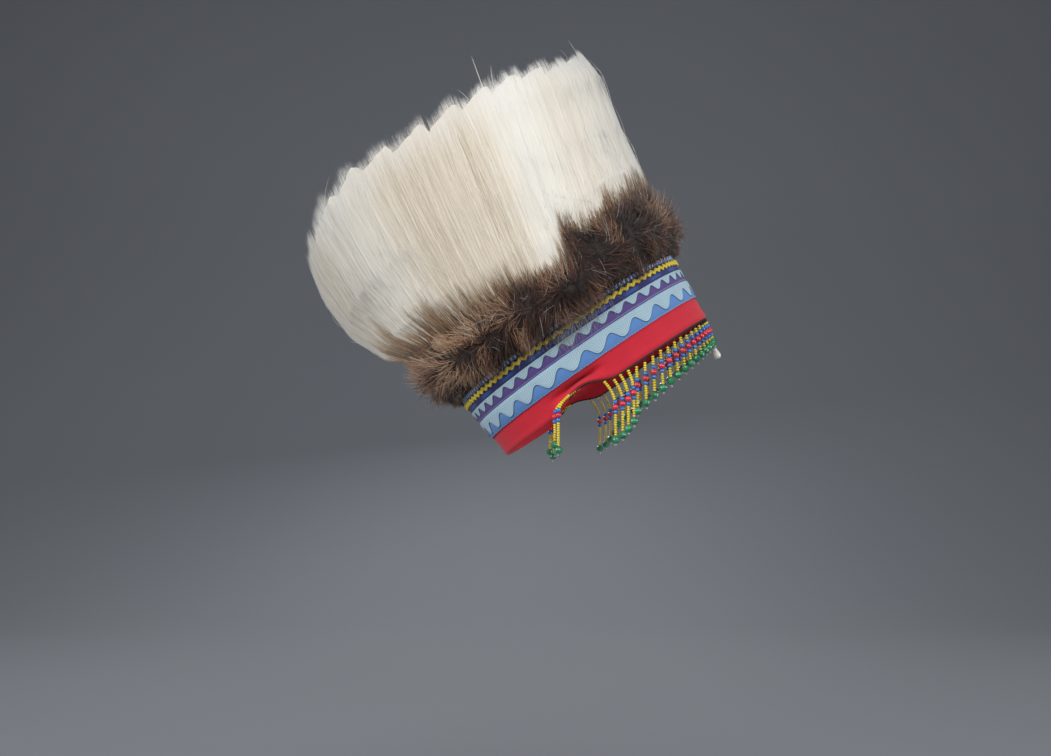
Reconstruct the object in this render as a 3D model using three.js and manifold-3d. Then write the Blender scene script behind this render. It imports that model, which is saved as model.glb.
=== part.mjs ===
// Fur headdress: a red cloth headband with woven ribbons, a roll of brown fur, a tall ring of
// white hair and a fringe of bead strands. Millimetres, +Z up, +X the way the wearer faces.
// The headdress is modelled upright in its own frame, with its rim in the XY plane, and the
// whole group then leans back as it is worn. The origin is the middle of the rim.

import * as THREE from "three";
import { mergeVertices } from "three/addons/utils/BufferGeometryUtils.js";
import Module from "manifold-3d";

// Driving dimensions
const wornTilt = THREE.MathUtils.degToRad(34.5);
const rimLength = 200;
const rimWidth = 156;
const clearance = 0.35;

// Red cloth headband
const bandHeight = 61;
const bandFlare = 5;
const bandWall = 2.2;
const rimRounding = 1.2;
const bandSteps = 48;

// Dent that each ear makes in the rim
const earSetback = 27;
const earReach = 30;
const earLift = 9;
const liftBelowRibbon = 2.5;
const creaseDepth = 3;
const creaseBelowRibbon = 6;

// Ribbons, from the bare red cloth upwards
const blueRibbonHeight = 16;
const purpleRibbonHeight = 10;
const navyRibbonHeight = 9.8;
const zigzagRibbonHeight = 6.7;
const ribbonThickness = 0.8;

// Yellow zigzag braid, along the upper part of the navy ribbon
const braidPitch = 6;
const braidWidth = 2.6;
const braidSwing = 1.2;
const braidThickness = 1;
const braidBelowEdge = 3.2;

// Brown fur roll
const rollBulge = 23;
const rollSkirt = 8;
const rollLock = 3;
const tuftReach = 4;
const hairStepDown = 12;
const hairRootReach = 17;

// White hair crest
const crestTop = 234;
const crestFlare = 50;
const crestWall = 42;
const crestRootWall = 19;
const lockCount = 36;
const lockRelief = 5;
const lockTip = 14;
const lockLean = THREE.MathUtils.degToRad(3);

// Bead fringe
const strandsEachSide = 21;
const headingDiameter = 2.4;
const strandSides = 8;
const frontStrand = 21;
const earStrand = 46;
const threadDiameter = 0.8;
const seedDiameter = 2.6;
const redDiameter = 5;
const greenDiameter = 6.4;
const redDrop = 0.42;
const foreheadLean = 0.33;
const lastPlainStrand = 79;

// White drop at the forehead
const dropLength = 11;
const dropDiameter = 7;
const dropSides = 12;

// Height of the line between brown fur and white hair, from the front of the head to the
// back, as a share of the band's height. It steps down where the rear strip of hair laps the
// front strip, on both sides of the head.
const hairLine = [
  { azimuth: 0, height: 1.79 },
  { azimuth: 40, height: 1.79 },
  { azimuth: 58, height: 1.74 },
  { azimuth: 70, height: 1.66 },
  { azimuth: 76, height: 1.84 },
  { azimuth: 83, height: 1.39 },
  { azimuth: 95, height: 1.5 },
  { azimuth: 108, height: 1.6 },
  { azimuth: 126, height: 1.62 },
  { azimuth: 145, height: 1.7 },
  { azimuth: 165, height: 1.76 },
  { azimuth: 180, height: 1.74 },
];

// Height of the crest's tips round the head, as a share of crestTop.
const crestLine = [
  { azimuth: 0, height: 1.03 },
  { azimuth: 16, height: 1.06 },
  { azimuth: 32, height: 0.985 },
  { azimuth: 45, height: 0.99 },
  { azimuth: 60, height: 1.0 },
  { azimuth: 120, height: 0.99 },
  { azimuth: 150, height: 0.97 },
  { azimuth: 168, height: 0.935 },
  { azimuth: 180, height: 0.9 },
];

// How far the crest stands out beyond the band at each height, as a share of crestFlare, at
// the front, sides and back, and how thick its wall is there, as a share of crestWall.
const crestForm = [
  { rise: 0.16, front: 0.44, side: 0.5, back: 0.68, wall: 0.6 },
  { rise: 0.46, front: 0.58, side: 0.66, back: 0.96, wall: 0.82 },
  { rise: 0.8, front: 0.82, side: 0.76, back: 1.0, wall: 0.86 },
];
const crestTips = { front: 0.62, side: 0.56, back: 0.72 };

// Section of the brown roll between its lower lip and the hair line: how far it stands out,
// as a share of rollBulge, at each share of that height.
const rollForm = [
  { rise: 0.08, reach: 0.52 },
  { rise: 0.3, reach: 0.85 },
  { rise: 0.66, reach: 1.0 },
  { rise: 0.9, reach: 0.93 },
];

// How much longer or shorter neighbouring locks of hair are, repeated round the head.
const lockRhythm = [0.9, 0.35, 1.0, 0.1, 0.6, 0.8, 0.0, 0.5];

// Strands that an ear pushes aside: where each starts, in degrees from the front of the rim,
// how far it is pushed forward (minus: back) as a share of earReach, and its length as a
// share of earStrand.
const earStrands = [
  { azimuth: 109, push: -0.5, length: 0.92 },
  { azimuth: 105, push: -0.58, length: 1.1 },
  { azimuth: 95, push: 0.46, length: 1.04 },
  { azimuth: 91, push: 0.36, length: 1.0 },
  { azimuth: 87, push: 0.26, length: 0.96 },
  { azimuth: 83, push: 0.14, length: 0.92 },
];

const zigzagBottom = bandHeight - zigzagRibbonHeight;
const navyBottom = zigzagBottom - navyRibbonHeight;
const purpleBottom = navyBottom - purpleRibbonHeight;
const bareRed = purpleBottom - blueRibbonHeight;
const earLiftHeight = bareRed - liftBelowRibbon;
const creaseHeight = bareRed - creaseBelowRibbon;
const ribbonOuter = clearance + ribbonThickness;
const braidInner = ribbonOuter + clearance;
const rollInner = braidInner + braidThickness + clearance;

const wasm = await Module();
wasm.setup();

// Value of one column of a table at a given key, on straight lines between its rows.
function lookUp(table, key, column, at) {
  for (let i = 1; i < table.length; i++) {
    const low = table[i - 1];
    const high = table[i];
    if (at <= high[key] || i === table.length - 1) {
      const share = THREE.MathUtils.clamp((at - low[key]) / (high[key] - low[key]), 0, 1);
      return THREE.MathUtils.lerp(low[column], high[column], share);
    }
  }
  return table[0][column];
}

// Degrees from the front of the head, the same on both sides.
function azimuthOf(angle) {
  const turned = Math.abs(THREE.MathUtils.radToDeg(angle)) % 360;
  return turned > 180 ? 360 - turned : turned;
}

// A point at an angle round the head, a distance out from the rim's oval, and a height.
function headPoint(angle, out, height) {
  const x = (rimLength / 2 + out) * Math.cos(angle);
  const y = (rimWidth / 2 + out) * Math.sin(angle);
  return new THREE.Vector3(x, y, height);
}

// The same, with the distance measured from the headband's outer face.
function bandPoint(angle, out, height) {
  return headPoint(angle, (bandFlare * height) / bandHeight + out, height);
}

// From 0 away from the ears to 1 above the middle of an ear.
function earShare(angle) {
  const away = ((rimLength / 2) * Math.cos(angle) + earSetback) / earReach;
  return Math.abs(away) < 1 ? (0.5 + 0.5 * Math.cos(Math.PI * away)) * Math.abs(Math.sin(angle)) : 0;
}

// Height of the cloth after the ear has lifted it.
function lifted(angle, height) {
  const share = Math.max(0, 1 - height / earLiftHeight);
  return height + earLift * earShare(angle) * share;
}

// Closed body from rings of points: each ring is one closed section, and the last ring joins
// the first unless ends is true, which caps the first and last ring instead.
function ringBody(rings, ends) {
  const sides = rings[0].length;
  const positions = [];
  for (const ring of rings) {
    for (const point of ring) {
      positions.push(point.x, point.y, point.z);
    }
  }
  const faces = [];
  const spans = ends ? rings.length - 1 : rings.length;
  for (let i = 0; i < spans; i++) {
    const here = i * sides;
    const next = ((i + 1) % rings.length) * sides;
    for (let j = 0; j < sides; j++) {
      const k = (j + 1) % sides;
      faces.push(here + j, next + j, next + k);
      faces.push(here + j, next + k, here + k);
    }
  }
  if (ends) {
    const last = (rings.length - 1) * sides;
    for (let j = 1; j < sides - 1; j++) {
      faces.push(0, j, j + 1);
      faces.push(last, last + j + 1, last + j);
    }
  }
  const geometry = new THREE.BufferGeometry();
  geometry.setAttribute("position", new THREE.Float32BufferAttribute(positions, 3));
  geometry.setIndex(faces);
  return signedVolume(geometry) < 0 ? turnedOut(geometry) : geometry;
}

function signedVolume(geometry) {
  const index = geometry.index;
  const corner = [new THREE.Vector3(), new THREE.Vector3(), new THREE.Vector3()];
  let volume = 0;
  for (let i = 0; i < index.count; i += 3) {
    corner.forEach((point, j) => point.fromBufferAttribute(geometry.attributes.position, index.getX(i + j)));
    volume += corner[0].dot(corner[1].cross(corner[2])) / 6;
  }
  return volume;
}

function turnedOut(geometry) {
  const index = geometry.index;
  for (let i = 0; i < index.count; i += 3) {
    const second = index.getX(i + 1);
    index.setX(i + 1, index.getX(i + 2));
    index.setX(i + 2, second);
  }
  return geometry;
}

// Body that goes all the way round the head: section(angle, step) gives its closed section.
function roundTheHead(steps, section) {
  const rings = [];
  for (let i = 0; i < steps; i++) {
    rings.push(section((2 * Math.PI * i) / steps, i));
  }
  return ringBody(rings, false);
}

function toManifold(geometry) {
  const plain = geometry.clone();
  plain.deleteAttribute("normal");
  plain.deleteAttribute("uv");
  const merged = mergeVertices(plain, 1e-4);
  const vertProperties = new Float32Array(merged.attributes.position.array);
  const triVerts = new Uint32Array(merged.index.array);
  return new wasm.Manifold(new wasm.Mesh({ numProp: 3, vertProperties, triVerts }));
}

function toGeometry(solid) {
  const mesh = solid.getMesh();
  const geometry = new THREE.BufferGeometry();
  geometry.setAttribute("position", new THREE.BufferAttribute(new Float32Array(mesh.vertProperties), 3));
  geometry.setIndex(new THREE.BufferAttribute(new Uint32Array(mesh.triVerts), 1));
  return geometry;
}

// Red cloth headband, with its rounded rim lifted and creased above each ear.
function makeHeadband() {
  return roundTheHead(bandSteps, (angle) => {
    const crease = creaseDepth * earShare(angle);
    const at = (out, height) => bandPoint(angle, out, lifted(angle, height));
    return [
      at(-bandWall / 2, 0),
      at(0, rimRounding),
      at(-crease, creaseHeight),
      at(0, bareRed - clearance),
      at(0, bandHeight),
      at(-bandWall, bandHeight),
      at(-bandWall, bareRed),
      at(-bandWall - crease, creaseHeight),
      at(-bandWall, rimRounding),
    ];
  });
}

// Flat woven ribbon sewn round the band between two heights.
function makeRibbon(low, high) {
  return roundTheHead(bandSteps, (angle) => [
    bandPoint(angle, clearance, low),
    bandPoint(angle, ribbonOuter, low),
    bandPoint(angle, ribbonOuter, high),
    bandPoint(angle, clearance, high),
  ]);
}

// Zigzag braid with a raised middle, round the navy ribbon at one height.
function makeBraid(height) {
  const bandLength = Math.PI * (rimLength / 2 + rimWidth / 2 + 2 * bandFlare);
  const zigzags = Math.round(bandLength / braidPitch / (bandSteps / 2)) * (bandSteps / 2);
  return roundTheHead(2 * zigzags, (angle, step) => {
    const middle = height + (step % 2 === 0 ? braidSwing : -braidSwing);
    return [
      bandPoint(angle, braidInner, middle - braidWidth / 2),
      bandPoint(angle, braidInner + braidThickness, middle),
      bandPoint(angle, braidInner, middle + braidWidth / 2),
    ];
  });
}

// Each lock of fur is a ridge and a valley: the ridge of one lock, 1, to the valley, 0, with
// the length of this lock beside its neighbours.
function lockAt(step) {
  const ridge = step % 2 === 0 ? 1 : 0;
  const rhythm = lockRhythm[Math.floor(step / 2) % lockRhythm.length];
  return { ridge, rhythm, lean: lockLean * (rhythm - 0.5) };
}

function hairLineAt(angle) {
  return bandHeight * lookUp(hairLine, "azimuth", "height", azimuthOf(angle));
}

// Roll of brown fur that laps over the top of the band, down to the yellow braid at the sides.
function makeFurRoll() {
  return roundTheHead(2 * lockCount, (angle, step) => {
    const { ridge, rhythm, lean } = lockAt(step);
    const top = hairLineAt(angle);
    const sideways = Math.sin(angle) ** 2;
    const lip = bandHeight - rollSkirt * (0.55 + 0.45 * sideways);
    const tuft = rollLock * ridge * (0.4 + 0.6 * rhythm);
    const section = [
      headPoint(angle, bandFlare - bandWall, top - hairStepDown),
      headPoint(angle, bandFlare - bandWall, bandHeight + clearance),
      headPoint(angle, bandFlare + rollInner, bandHeight + clearance),
      headPoint(angle, bandFlare + rollInner, lip + 1),
      headPoint(angle + lean, bandFlare + rollInner + tuftReach, lip - tuft),
    ];
    for (const row of rollForm) {
      const out = rollBulge * row.reach - (ridge ? 0 : rollLock * 0.8);
      section.push(headPoint(angle, bandFlare + out, THREE.MathUtils.lerp(lip, top, row.rise)));
    }
    section.push(headPoint(angle, bandFlare + hairRootReach, top));
    return section;
  });
}

// How far the crest stands out at one height: the front, side and back columns blended.
function crestReach(row, angle) {
  const alongHead = Math.cos(angle);
  const end = alongHead > 0 ? row.front : row.back;
  return crestFlare * THREE.MathUtils.lerp(row.side, end, alongHead ** 2);
}

// Tall ring of white hair: locks round an open hollow, thick at the middle of their height
// and coming to uneven tips.
function makeHairCrest() {
  return roundTheHead(2 * lockCount, (angle, step) => {
    const { ridge, rhythm, lean } = lockAt(step);
    const root = hairLineAt(angle) + 2 * clearance;
    const tip = crestTop * lookUp(crestLine, "azimuth", "height", azimuthOf(angle));
    const end = tip - lockTip * (ridge ? 0.6 * (1 - rhythm) : 1);
    const heightAt = (rise) => THREE.MathUtils.lerp(root, end, rise);
    const outerSide = crestForm.map((row) => {
      const relief = ridge ? 0 : lockRelief * row.rise;
      const out = crestReach(row, angle) - relief;
      return headPoint(angle + lean * row.rise, bandFlare + out, heightAt(row.rise));
    });
    const innerSide = crestForm.map((row) => {
      const relief = ridge ? 0 : lockRelief * row.rise;
      const out = crestReach(row, angle) - crestWall * row.wall + relief;
      return headPoint(angle + lean * row.rise, bandFlare + out, heightAt(row.rise));
    });
    return [
      headPoint(angle, bandFlare + hairRootReach, root),
      headPoint(angle, bandFlare + hairRootReach - crestRootWall, root - hairStepDown),
      ...innerSide,
      headPoint(angle + lean, bandFlare + crestReach(crestTips, angle), end),
      ...outerSide.reverse(),
    ];
  });
}

// Level directions and straight down in the worn headdress, in the upright frame.
const level = new THREE.Vector3(Math.cos(wornTilt), 0, -Math.sin(wornTilt));
const across = new THREE.Vector3(0, 1, 0);
const down = new THREE.Vector3(-Math.sin(wornTilt), 0, -Math.cos(wornTilt));

// Middle of the heading thread, just under the rim.
function headingPoint(angle) {
  const height = -(headingDiameter / 2 + clearance);
  return headPoint(angle, -bandWall / 2, height + earLift * earShare(angle));
}

// Where each strand hangs: its angle round the rim, how far an ear pushes it, and its length.
function strandList() {
  const list = [{ angle: 0, push: 0, length: frontStrand }];
  const plain = strandsEachSide - earStrands.filter((row) => row.push > 0).length;
  for (const side of [1, -1]) {
    for (let i = 1; i <= plain; i++) {
      const share = i / plain;
      const length = THREE.MathUtils.lerp(frontStrand, earStrand * 0.86, share ** 1.6);
      list.push({ angle: side * THREE.MathUtils.degToRad(lastPlainStrand * share), push: 0, length });
    }
    for (const row of earStrands) {
      const angle = side * THREE.MathUtils.degToRad(row.azimuth);
      list.push({ angle, push: row.push * earReach, length: row.length * earStrand });
    }
  }
  return list;
}

// Point on a strand at a distance below its start. An ear pushes its upper part aside, and
// at the front it leans out over the forehead.
function strandPoint(strand, distance) {
  const knee = strand.length * 0.3;
  const pushed = strand.push * Math.min(1, distance / knee);
  const lean = foreheadLean * Math.max(0, Math.cos(strand.angle)) ** 2 * distance;
  return headingPoint(strand.angle)
    .addScaledVector(down, distance)
    .addScaledVector(level, pushed + lean);
}

function strandRing(centre, diameter) {
  const ring = [];
  for (let i = 0; i < strandSides; i++) {
    const turn = (2 * Math.PI * i) / strandSides;
    const point = centre.clone();
    point.addScaledVector(level, (diameter / 2) * Math.cos(turn));
    point.addScaledVector(across, (diameter / 2) * Math.sin(turn));
    ring.push(point);
  }
  return ring;
}

// One strand: thread and small beads as a tube, the red bead and the green bead as swellings.
function makeStrand(strand) {
  const red = strand.length * redDrop;
  const green = strand.length - greenDiameter / 2;
  const rows = [
    { distance: 0, diameter: threadDiameter },
    { distance: red - redDiameter * 0.7, diameter: seedDiameter },
    { distance: red, diameter: redDiameter },
    { distance: Math.max(red + redDiameter * 0.5, green - greenDiameter * 0.5), diameter: seedDiameter },
    { distance: green, diameter: greenDiameter },
    { distance: green + greenDiameter * 0.55, diameter: seedDiameter },
  ];
  return ringBody(rows.map((row) => strandRing(strandPoint(strand, row.distance), row.diameter)), true);
}

// Heading thread along the underside of the rim, ear to ear across the forehead.
function makeHeading() {
  const reach = Math.ceil((earStrands[0].azimuth / 360) * bandSteps);
  const rings = [];
  for (let i = -reach; i <= reach; i++) {
    const angle = (2 * Math.PI * i) / bandSteps;
    const centre = headingPoint(angle);
    const outward = new THREE.Vector3(Math.cos(angle), Math.sin(angle), 0);
    const ring = [];
    for (let j = 0; j < strandSides; j++) {
      const turn = (2 * Math.PI * (j + 0.5)) / strandSides;
      const point = centre.clone();
      point.addScaledVector(outward, (headingDiameter / 2) * Math.cos(turn));
      point.z += (headingDiameter / 2) * Math.sin(turn);
      ring.push(point);
    }
    rings.push(ring);
  }
  return ringBody(rings, true);
}

function makeBeadFringe() {
  let fringe = toManifold(makeHeading());
  for (const strand of strandList()) {
    fringe = fringe.add(toManifold(makeStrand(strand)));
  }
  return toGeometry(fringe);
}

// White drop under the middle strand, on the axis of that strand.
function makeForeheadDrop() {
  const middle = { angle: 0, push: 0, length: frontStrand };
  const top = strandPoint(middle, frontStrand + greenDiameter * 0.05 + clearance);
  const axis = strandPoint(middle, frontStrand + dropLength).sub(top).normalize();
  const profile = [
    new THREE.Vector2(0, -dropLength),
    new THREE.Vector2(dropDiameter * 0.38, -dropLength * 0.9),
    new THREE.Vector2(dropDiameter * 0.5, -dropLength * 0.66),
    new THREE.Vector2(dropDiameter * 0.3, -dropLength * 0.3),
    new THREE.Vector2(dropDiameter * 0.16, 0),
    new THREE.Vector2(0, 0),
  ];
  const geometry = new THREE.LatheGeometry(profile, dropSides);
  geometry.applyQuaternion(new THREE.Quaternion().setFromUnitVectors(new THREE.Vector3(0, -1, 0), axis));
  geometry.translate(top.x, top.y, top.z);
  return geometry;
}

const group = new THREE.Group();
group.rotation.y = -wornTilt;

function addPiece(name, geometry, color, roughness) {
  const material = new THREE.MeshStandardMaterial({ color, roughness, metalness: 0 });
  const mesh = new THREE.Mesh(geometry, material);
  mesh.name = name;
  group.add(mesh);
}

addPiece("headband", makeHeadband(), "#c22f3a", 0.9);
addPiece("blue_wave_ribbon", makeRibbon(bareRed, purpleBottom - clearance), "#5c86c0", 0.7);
addPiece("purple_wave_ribbon", makeRibbon(purpleBottom, navyBottom - clearance), "#5b4a84", 0.7);
addPiece("navy_ribbon", makeRibbon(navyBottom, zigzagBottom - clearance), "#32316a", 0.7);
addPiece("yellow_rickrack", makeBraid(zigzagBottom - braidBelowEdge), "#e0c84a", 0.6);
addPiece("blue_zigzag_ribbon", makeRibbon(zigzagBottom, bandHeight), "#8fb0d6", 0.7);
addPiece("brown_fur_roll", makeFurRoll(), "#5a4334", 0.9);
addPiece("white_hair_crest", makeHairCrest(), "#e0dacb", 0.6);
addPiece("bead_fringe", makeBeadFringe(), "#1f74c4", 0.25);
addPiece("forehead_drop", makeForeheadDrop(), "#e6e2da", 0.2);

export default group;
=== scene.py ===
"""Looks of the fur headdress: cloth band, woven ribbons, brown fur, white hair and a bead fringe.

Shapes are worked out in millimetres in the upright headdress, whose rim lies level, as an angle
round the rim, a distance out from the rim's oval and a height above the rim. HeadShape then
leans them back as worn and turns them to metres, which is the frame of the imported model.
"""

import logging
import math
from dataclasses import dataclass, field
from enum import Enum
from typing import Callable, Sequence

import bmesh
import bpy
import numpy as np
from mathutils import Euler, Matrix, Vector

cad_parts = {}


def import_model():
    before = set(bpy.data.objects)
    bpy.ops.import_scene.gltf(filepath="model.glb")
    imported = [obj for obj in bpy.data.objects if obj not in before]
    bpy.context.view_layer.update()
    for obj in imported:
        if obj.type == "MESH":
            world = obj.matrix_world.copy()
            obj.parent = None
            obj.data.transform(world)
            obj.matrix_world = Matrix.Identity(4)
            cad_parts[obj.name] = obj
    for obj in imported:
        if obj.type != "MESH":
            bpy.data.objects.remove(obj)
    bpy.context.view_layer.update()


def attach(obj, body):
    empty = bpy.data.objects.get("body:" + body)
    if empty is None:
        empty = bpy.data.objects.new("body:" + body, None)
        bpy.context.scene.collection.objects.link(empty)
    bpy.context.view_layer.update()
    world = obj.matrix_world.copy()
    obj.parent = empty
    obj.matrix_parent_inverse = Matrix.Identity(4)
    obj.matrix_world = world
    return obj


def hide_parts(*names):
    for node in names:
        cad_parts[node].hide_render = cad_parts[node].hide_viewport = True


log = logging.getLogger("headdress")

MM = 0.001
# Millimetres: the radius of a ring before it is fitted, and the radii that give the length
# round it for the maps of the band and of the fur.
ROUND_RADIUS = 100.0
BAND_RADIUS = 89.0
FUR_RADIUS = 110.0
STRAND_UV = "strand"
BAKE_UV = "OFBake"
CLOTH_UV = "cloth"
MATH = "ShaderNodeMath"
MIX = "ShaderNodeMix"
BUMP = "ShaderNodeBump"
Numbers = np.ndarray | float
Placer = Callable[[np.ndarray, np.ndarray, np.ndarray], np.ndarray]
Socket = bpy.types.NodeSocket


class Body(Enum):
    """The rigid bodies of the model."""

    ROOT = "root"


class Slot(Enum):
    """The record's material slots."""

    RED_CLOTH = "red_cloth"
    BLUE_RIBBON = "blue_ribbon"
    PURPLE_RIBBON = "purple_ribbon"
    NAVY_RIBBON = "navy_ribbon"
    ZIGZAG_RIBBON = "zigzag_ribbon"
    YELLOW_BRAID = "yellow_braid"
    BROWN_FUR = "brown_fur"
    WHITE_HAIR = "white_hair"
    GLASS_BEADS = "glass_beads"
    BONE = "bone"


def linear(colour: str) -> tuple[float, float, float, float]:
    """Turns an sRGB hex colour to linear light.

    Args:
        colour: six hex digits, with a leading #.

    Returns:
        Red, green, blue and an alpha of 1.
    """
    parts = [int(colour[i : i + 2], 16) / 255 for i in (1, 3, 5)]
    light = [p / 12.92 if p <= 0.04045 else ((p + 0.055) / 1.055) ** 2.4 for p in parts]
    return (light[0], light[1], light[2], 1.0)


def add_node(tree: bpy.types.NodeTree, kind: str, inputs: dict | None = None,
             **settings) -> bpy.types.Node:
    """Adds a node with its settings and links.

    Args:
        tree: the material's node tree.
        kind: the node's type name.
        inputs: socket name or number to a value, an sRGB hex colour, or the socket that feeds it.
        settings: the node's own settings.

    Returns:
        The new node.
    """
    node = tree.nodes.new(kind)
    for name, value in settings.items():
        setattr(node, name, value)
    for socket, value in (inputs or {}).items():
        if isinstance(value, Socket):
            tree.links.new(value, node.inputs[socket])
        else:
            node.inputs[socket].default_value = linear(value) if isinstance(value, str) else value
    return node


def colour_steps(node: bpy.types.Node, stops: Sequence[tuple[float, str]]) -> None:
    """Sets a Color Ramp's stops, each a place from 0 to 1 and an sRGB hex colour."""
    ramp = node.color_ramp
    while len(ramp.elements) > 1:
        ramp.elements.remove(ramp.elements[-1])
    ramp.elements[0].position = stops[0][0]
    ramp.elements[0].color = linear(stops[0][1])
    for place, colour in stops[1:]:
        ramp.elements.new(place).color = linear(colour)


@dataclass
class Shading:
    """A material under construction: its tree, its Principled shader and its output."""

    name: str
    material: bpy.types.Material = field(init=False)
    tree: bpy.types.NodeTree = field(init=False)
    shader: bpy.types.Node = field(init=False)

    def __post_init__(self) -> None:
        """Makes the material with only a shader and an output."""
        self.material = bpy.data.materials.new(self.name)
        self.material.use_nodes = True
        self.tree = self.material.node_tree
        self.tree.nodes.clear()
        self.shader = self.tree.nodes.new("ShaderNodeBsdfPrincipled")
        output = self.tree.nodes.new("ShaderNodeOutputMaterial")
        self.tree.links.new(self.shader.outputs["BSDF"], output.inputs["Surface"])

    def node(self, kind: str, inputs: dict | None = None, **settings) -> bpy.types.Node:
        """Adds a node to this material, as add_node does."""
        return add_node(self.tree, kind, inputs, **settings)

    def feed(self, kind: str, inputs: dict, output: int = 0, **settings) -> Socket:
        """Adds a node to this material, as add_node does, and returns one of its outputs."""
        return add_node(self.tree, kind, inputs, **settings).outputs[output]

    def set(self, **sockets: object) -> None:
        """Sets or links the shader's sockets, named with underscores for spaces."""
        for name, value in sockets.items():
            socket = self.shader.inputs[name.replace("_", " ")]
            if isinstance(value, Socket):
                self.tree.links.new(value, socket)
            else:
                socket.default_value = value


@dataclass(frozen=True)
class WovenFinish:
    """Dyed cotton, cloth or ribbon: a plain weave whose threads break up the light softly.

    The cross threads and lengthwise threads are drawn about twice as coarse as real ones, so
    that the weave shows. A faint blotch in the dye and pale lint keep it from looking flat.
    """

    name: str
    colour: str
    shade: str
    thread_mm: float = 0.55
    rib: float = 0.5
    lint: float = 0.0
    contrast: float = 0.22
    edge: str | None = None
    edge_mm: tuple[float, float] = (0.0, 0.0)
    stitch_mm: float = 2.4
    sheen: float = 0.12

    def weave(self, paint: Shading) -> tuple[Socket, Socket, Socket]:
        """Adds the threads.

        Args:
            paint: the material.

        Returns:
            The length along the cloth, the height on it (both in mm) and the threads' relief.
        """
        place = paint.node("ShaderNodeUVMap", uv_map=CLOTH_UV)
        split = paint.node("ShaderNodeSeparateXYZ", {0: place.outputs["UV"]})
        turn = 2 * math.pi / (2 * self.thread_mm)
        along = paint.feed(MATH, {0: split.outputs["X"], 1: turn}, operation="MULTIPLY")
        along = paint.feed(MATH, {0: along}, operation="SINE")
        across = paint.feed(MATH, {0: split.outputs["Y"], 1: turn}, operation="MULTIPLY")
        across = paint.feed(MATH, {0: across}, operation="SINE")
        rib = paint.feed(MATH, {0: along, 1: self.rib}, operation="MULTIPLY")
        plain = paint.feed(MATH, {0: across, 1: 1 - self.rib}, operation="MULTIPLY")
        relief = paint.feed(MATH, {0: rib, 1: plain}, operation="ADD")
        return split.outputs["X"], split.outputs["Y"], relief

    def stripe(self, paint: Shading, height: Socket) -> Socket:
        """Gives 1 between the two heights of edge_mm, and 0 elsewhere."""
        above = paint.feed(MATH, {0: height, 1: self.edge_mm[0]}, operation="GREATER_THAN")
        below = paint.feed(MATH, {0: height, 1: self.edge_mm[1]}, operation="LESS_THAN")
        return paint.feed(MATH, {0: above, 1: below}, operation="MULTIPLY")

    def pattern(self, paint: Shading, length: Socket, height: Socket, base: Socket) -> Socket:
        """Paints what is woven into the cloth besides its ground colour; on the light-blue braid the edge
        stripe is a painted shadow along its lower edge.

        Args:
            paint: the material.
            length: the length along the cloth, in mm.
            height: the height on the cloth, in mm.
            base: the ground colour.

        Returns:
            The colour with the pattern.
        """
        if self.edge is None:
            return base
        on_edge = self.stripe(paint, height)
        if self.stitch_mm:
            beat = paint.feed(MATH, {0: length, 1: 2 * math.pi / self.stitch_mm}, operation="MULTIPLY")
            beat = paint.feed(MATH, {0: beat}, operation="SINE")
            stitch = paint.feed(MATH, {0: beat, 1: -0.5}, operation="GREATER_THAN")
            on_edge = paint.feed(MATH, {0: on_edge, 1: stitch}, operation="MULTIPLY")
        return paint.feed(MIX, {0: on_edge, 6: base, 7: self.edge}, 2, data_type="RGBA")

    def make(self) -> bpy.types.Material:
        """Returns the finished material."""
        paint = Shading(self.name)
        length, height, relief = self.weave(paint)
        object_place = paint.node("ShaderNodeTexCoord").outputs["Object"]
        blotch = paint.node("ShaderNodeTexNoise", {"Vector": object_place, "Scale": 60.0, "Detail": 4.0})
        thread_shade = paint.feed(MATH, {0: relief, 1: self.contrast}, operation="MULTIPLY")
        dye = paint.feed(MATH, {0: blotch.outputs[0], 1: 0.6}, operation="MULTIPLY")
        tone = paint.feed(MATH, {0: thread_shade, 1: dye}, operation="ADD")
        ground = paint.feed(MIX, {0: tone, 6: self.colour, 7: self.shade}, 2, data_type="RGBA")
        colour = self.pattern(paint, length, height, ground)
        if self.lint:
            specks = paint.node("ShaderNodeTexVoronoi", {"Vector": object_place, "Scale": 170.0})
            speck = paint.feed(MATH, {0: specks.outputs["Distance"], 1: self.lint}, operation="LESS_THAN")
            speck = paint.feed(MATH, {0: speck, 1: 0.45}, operation="MULTIPLY")
            colour = paint.feed(MIX, {0: speck, 6: colour, 7: "#E8B8BC"}, 2, data_type="RGBA")
        fuzz = paint.node("ShaderNodeTexNoise", {"Vector": object_place, "Scale": 1800.0, "Detail": 3.0})
        nap = paint.feed(MATH, {0: fuzz.outputs[0], 1: 0.8}, operation="MULTIPLY")
        height_map = paint.feed(MATH, {0: relief, 1: nap}, operation="ADD")
        bump = paint.feed(BUMP, {"Height": height_map, "Strength": 0.35, "Distance": 0.0002})
        paint.set(Base_Color=colour, Normal=bump, Roughness=0.82,
                  Sheen_Weight=self.sheen, Sheen_Roughness=0.5, Specular_IOR_Level=0.25)
        return paint.material


@dataclass(frozen=True)
class DashedFinish(WovenFinish):
    """Navy ribbon with long bright blue floats woven into it, which show as dashes."""

    dash: str = "#3A5A9C"
    dash_mm: float = 26.0

    def pattern(self, paint: Shading, length: Socket, height: Socket, base: Socket) -> Socket:
        """Paints the dashes along the middle of the ribbon."""
        swing = paint.feed(MATH, {0: length, 1: 2 * math.pi / self.dash_mm}, operation="MULTIPLY")
        swing = paint.feed(MATH, {0: swing}, operation="SINE")
        dash = paint.node("ShaderNodeMapRange", {0: swing, 1: -0.5, 2: 0.7, 4: 0.8}).outputs[0]
        shown = paint.feed(MATH, {0: dash, 1: self.stripe(paint, height)}, operation="MULTIPLY")
        return paint.feed(MIX, {0: shown, 6: base, 7: self.dash}, 2, data_type="RGBA")


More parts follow.
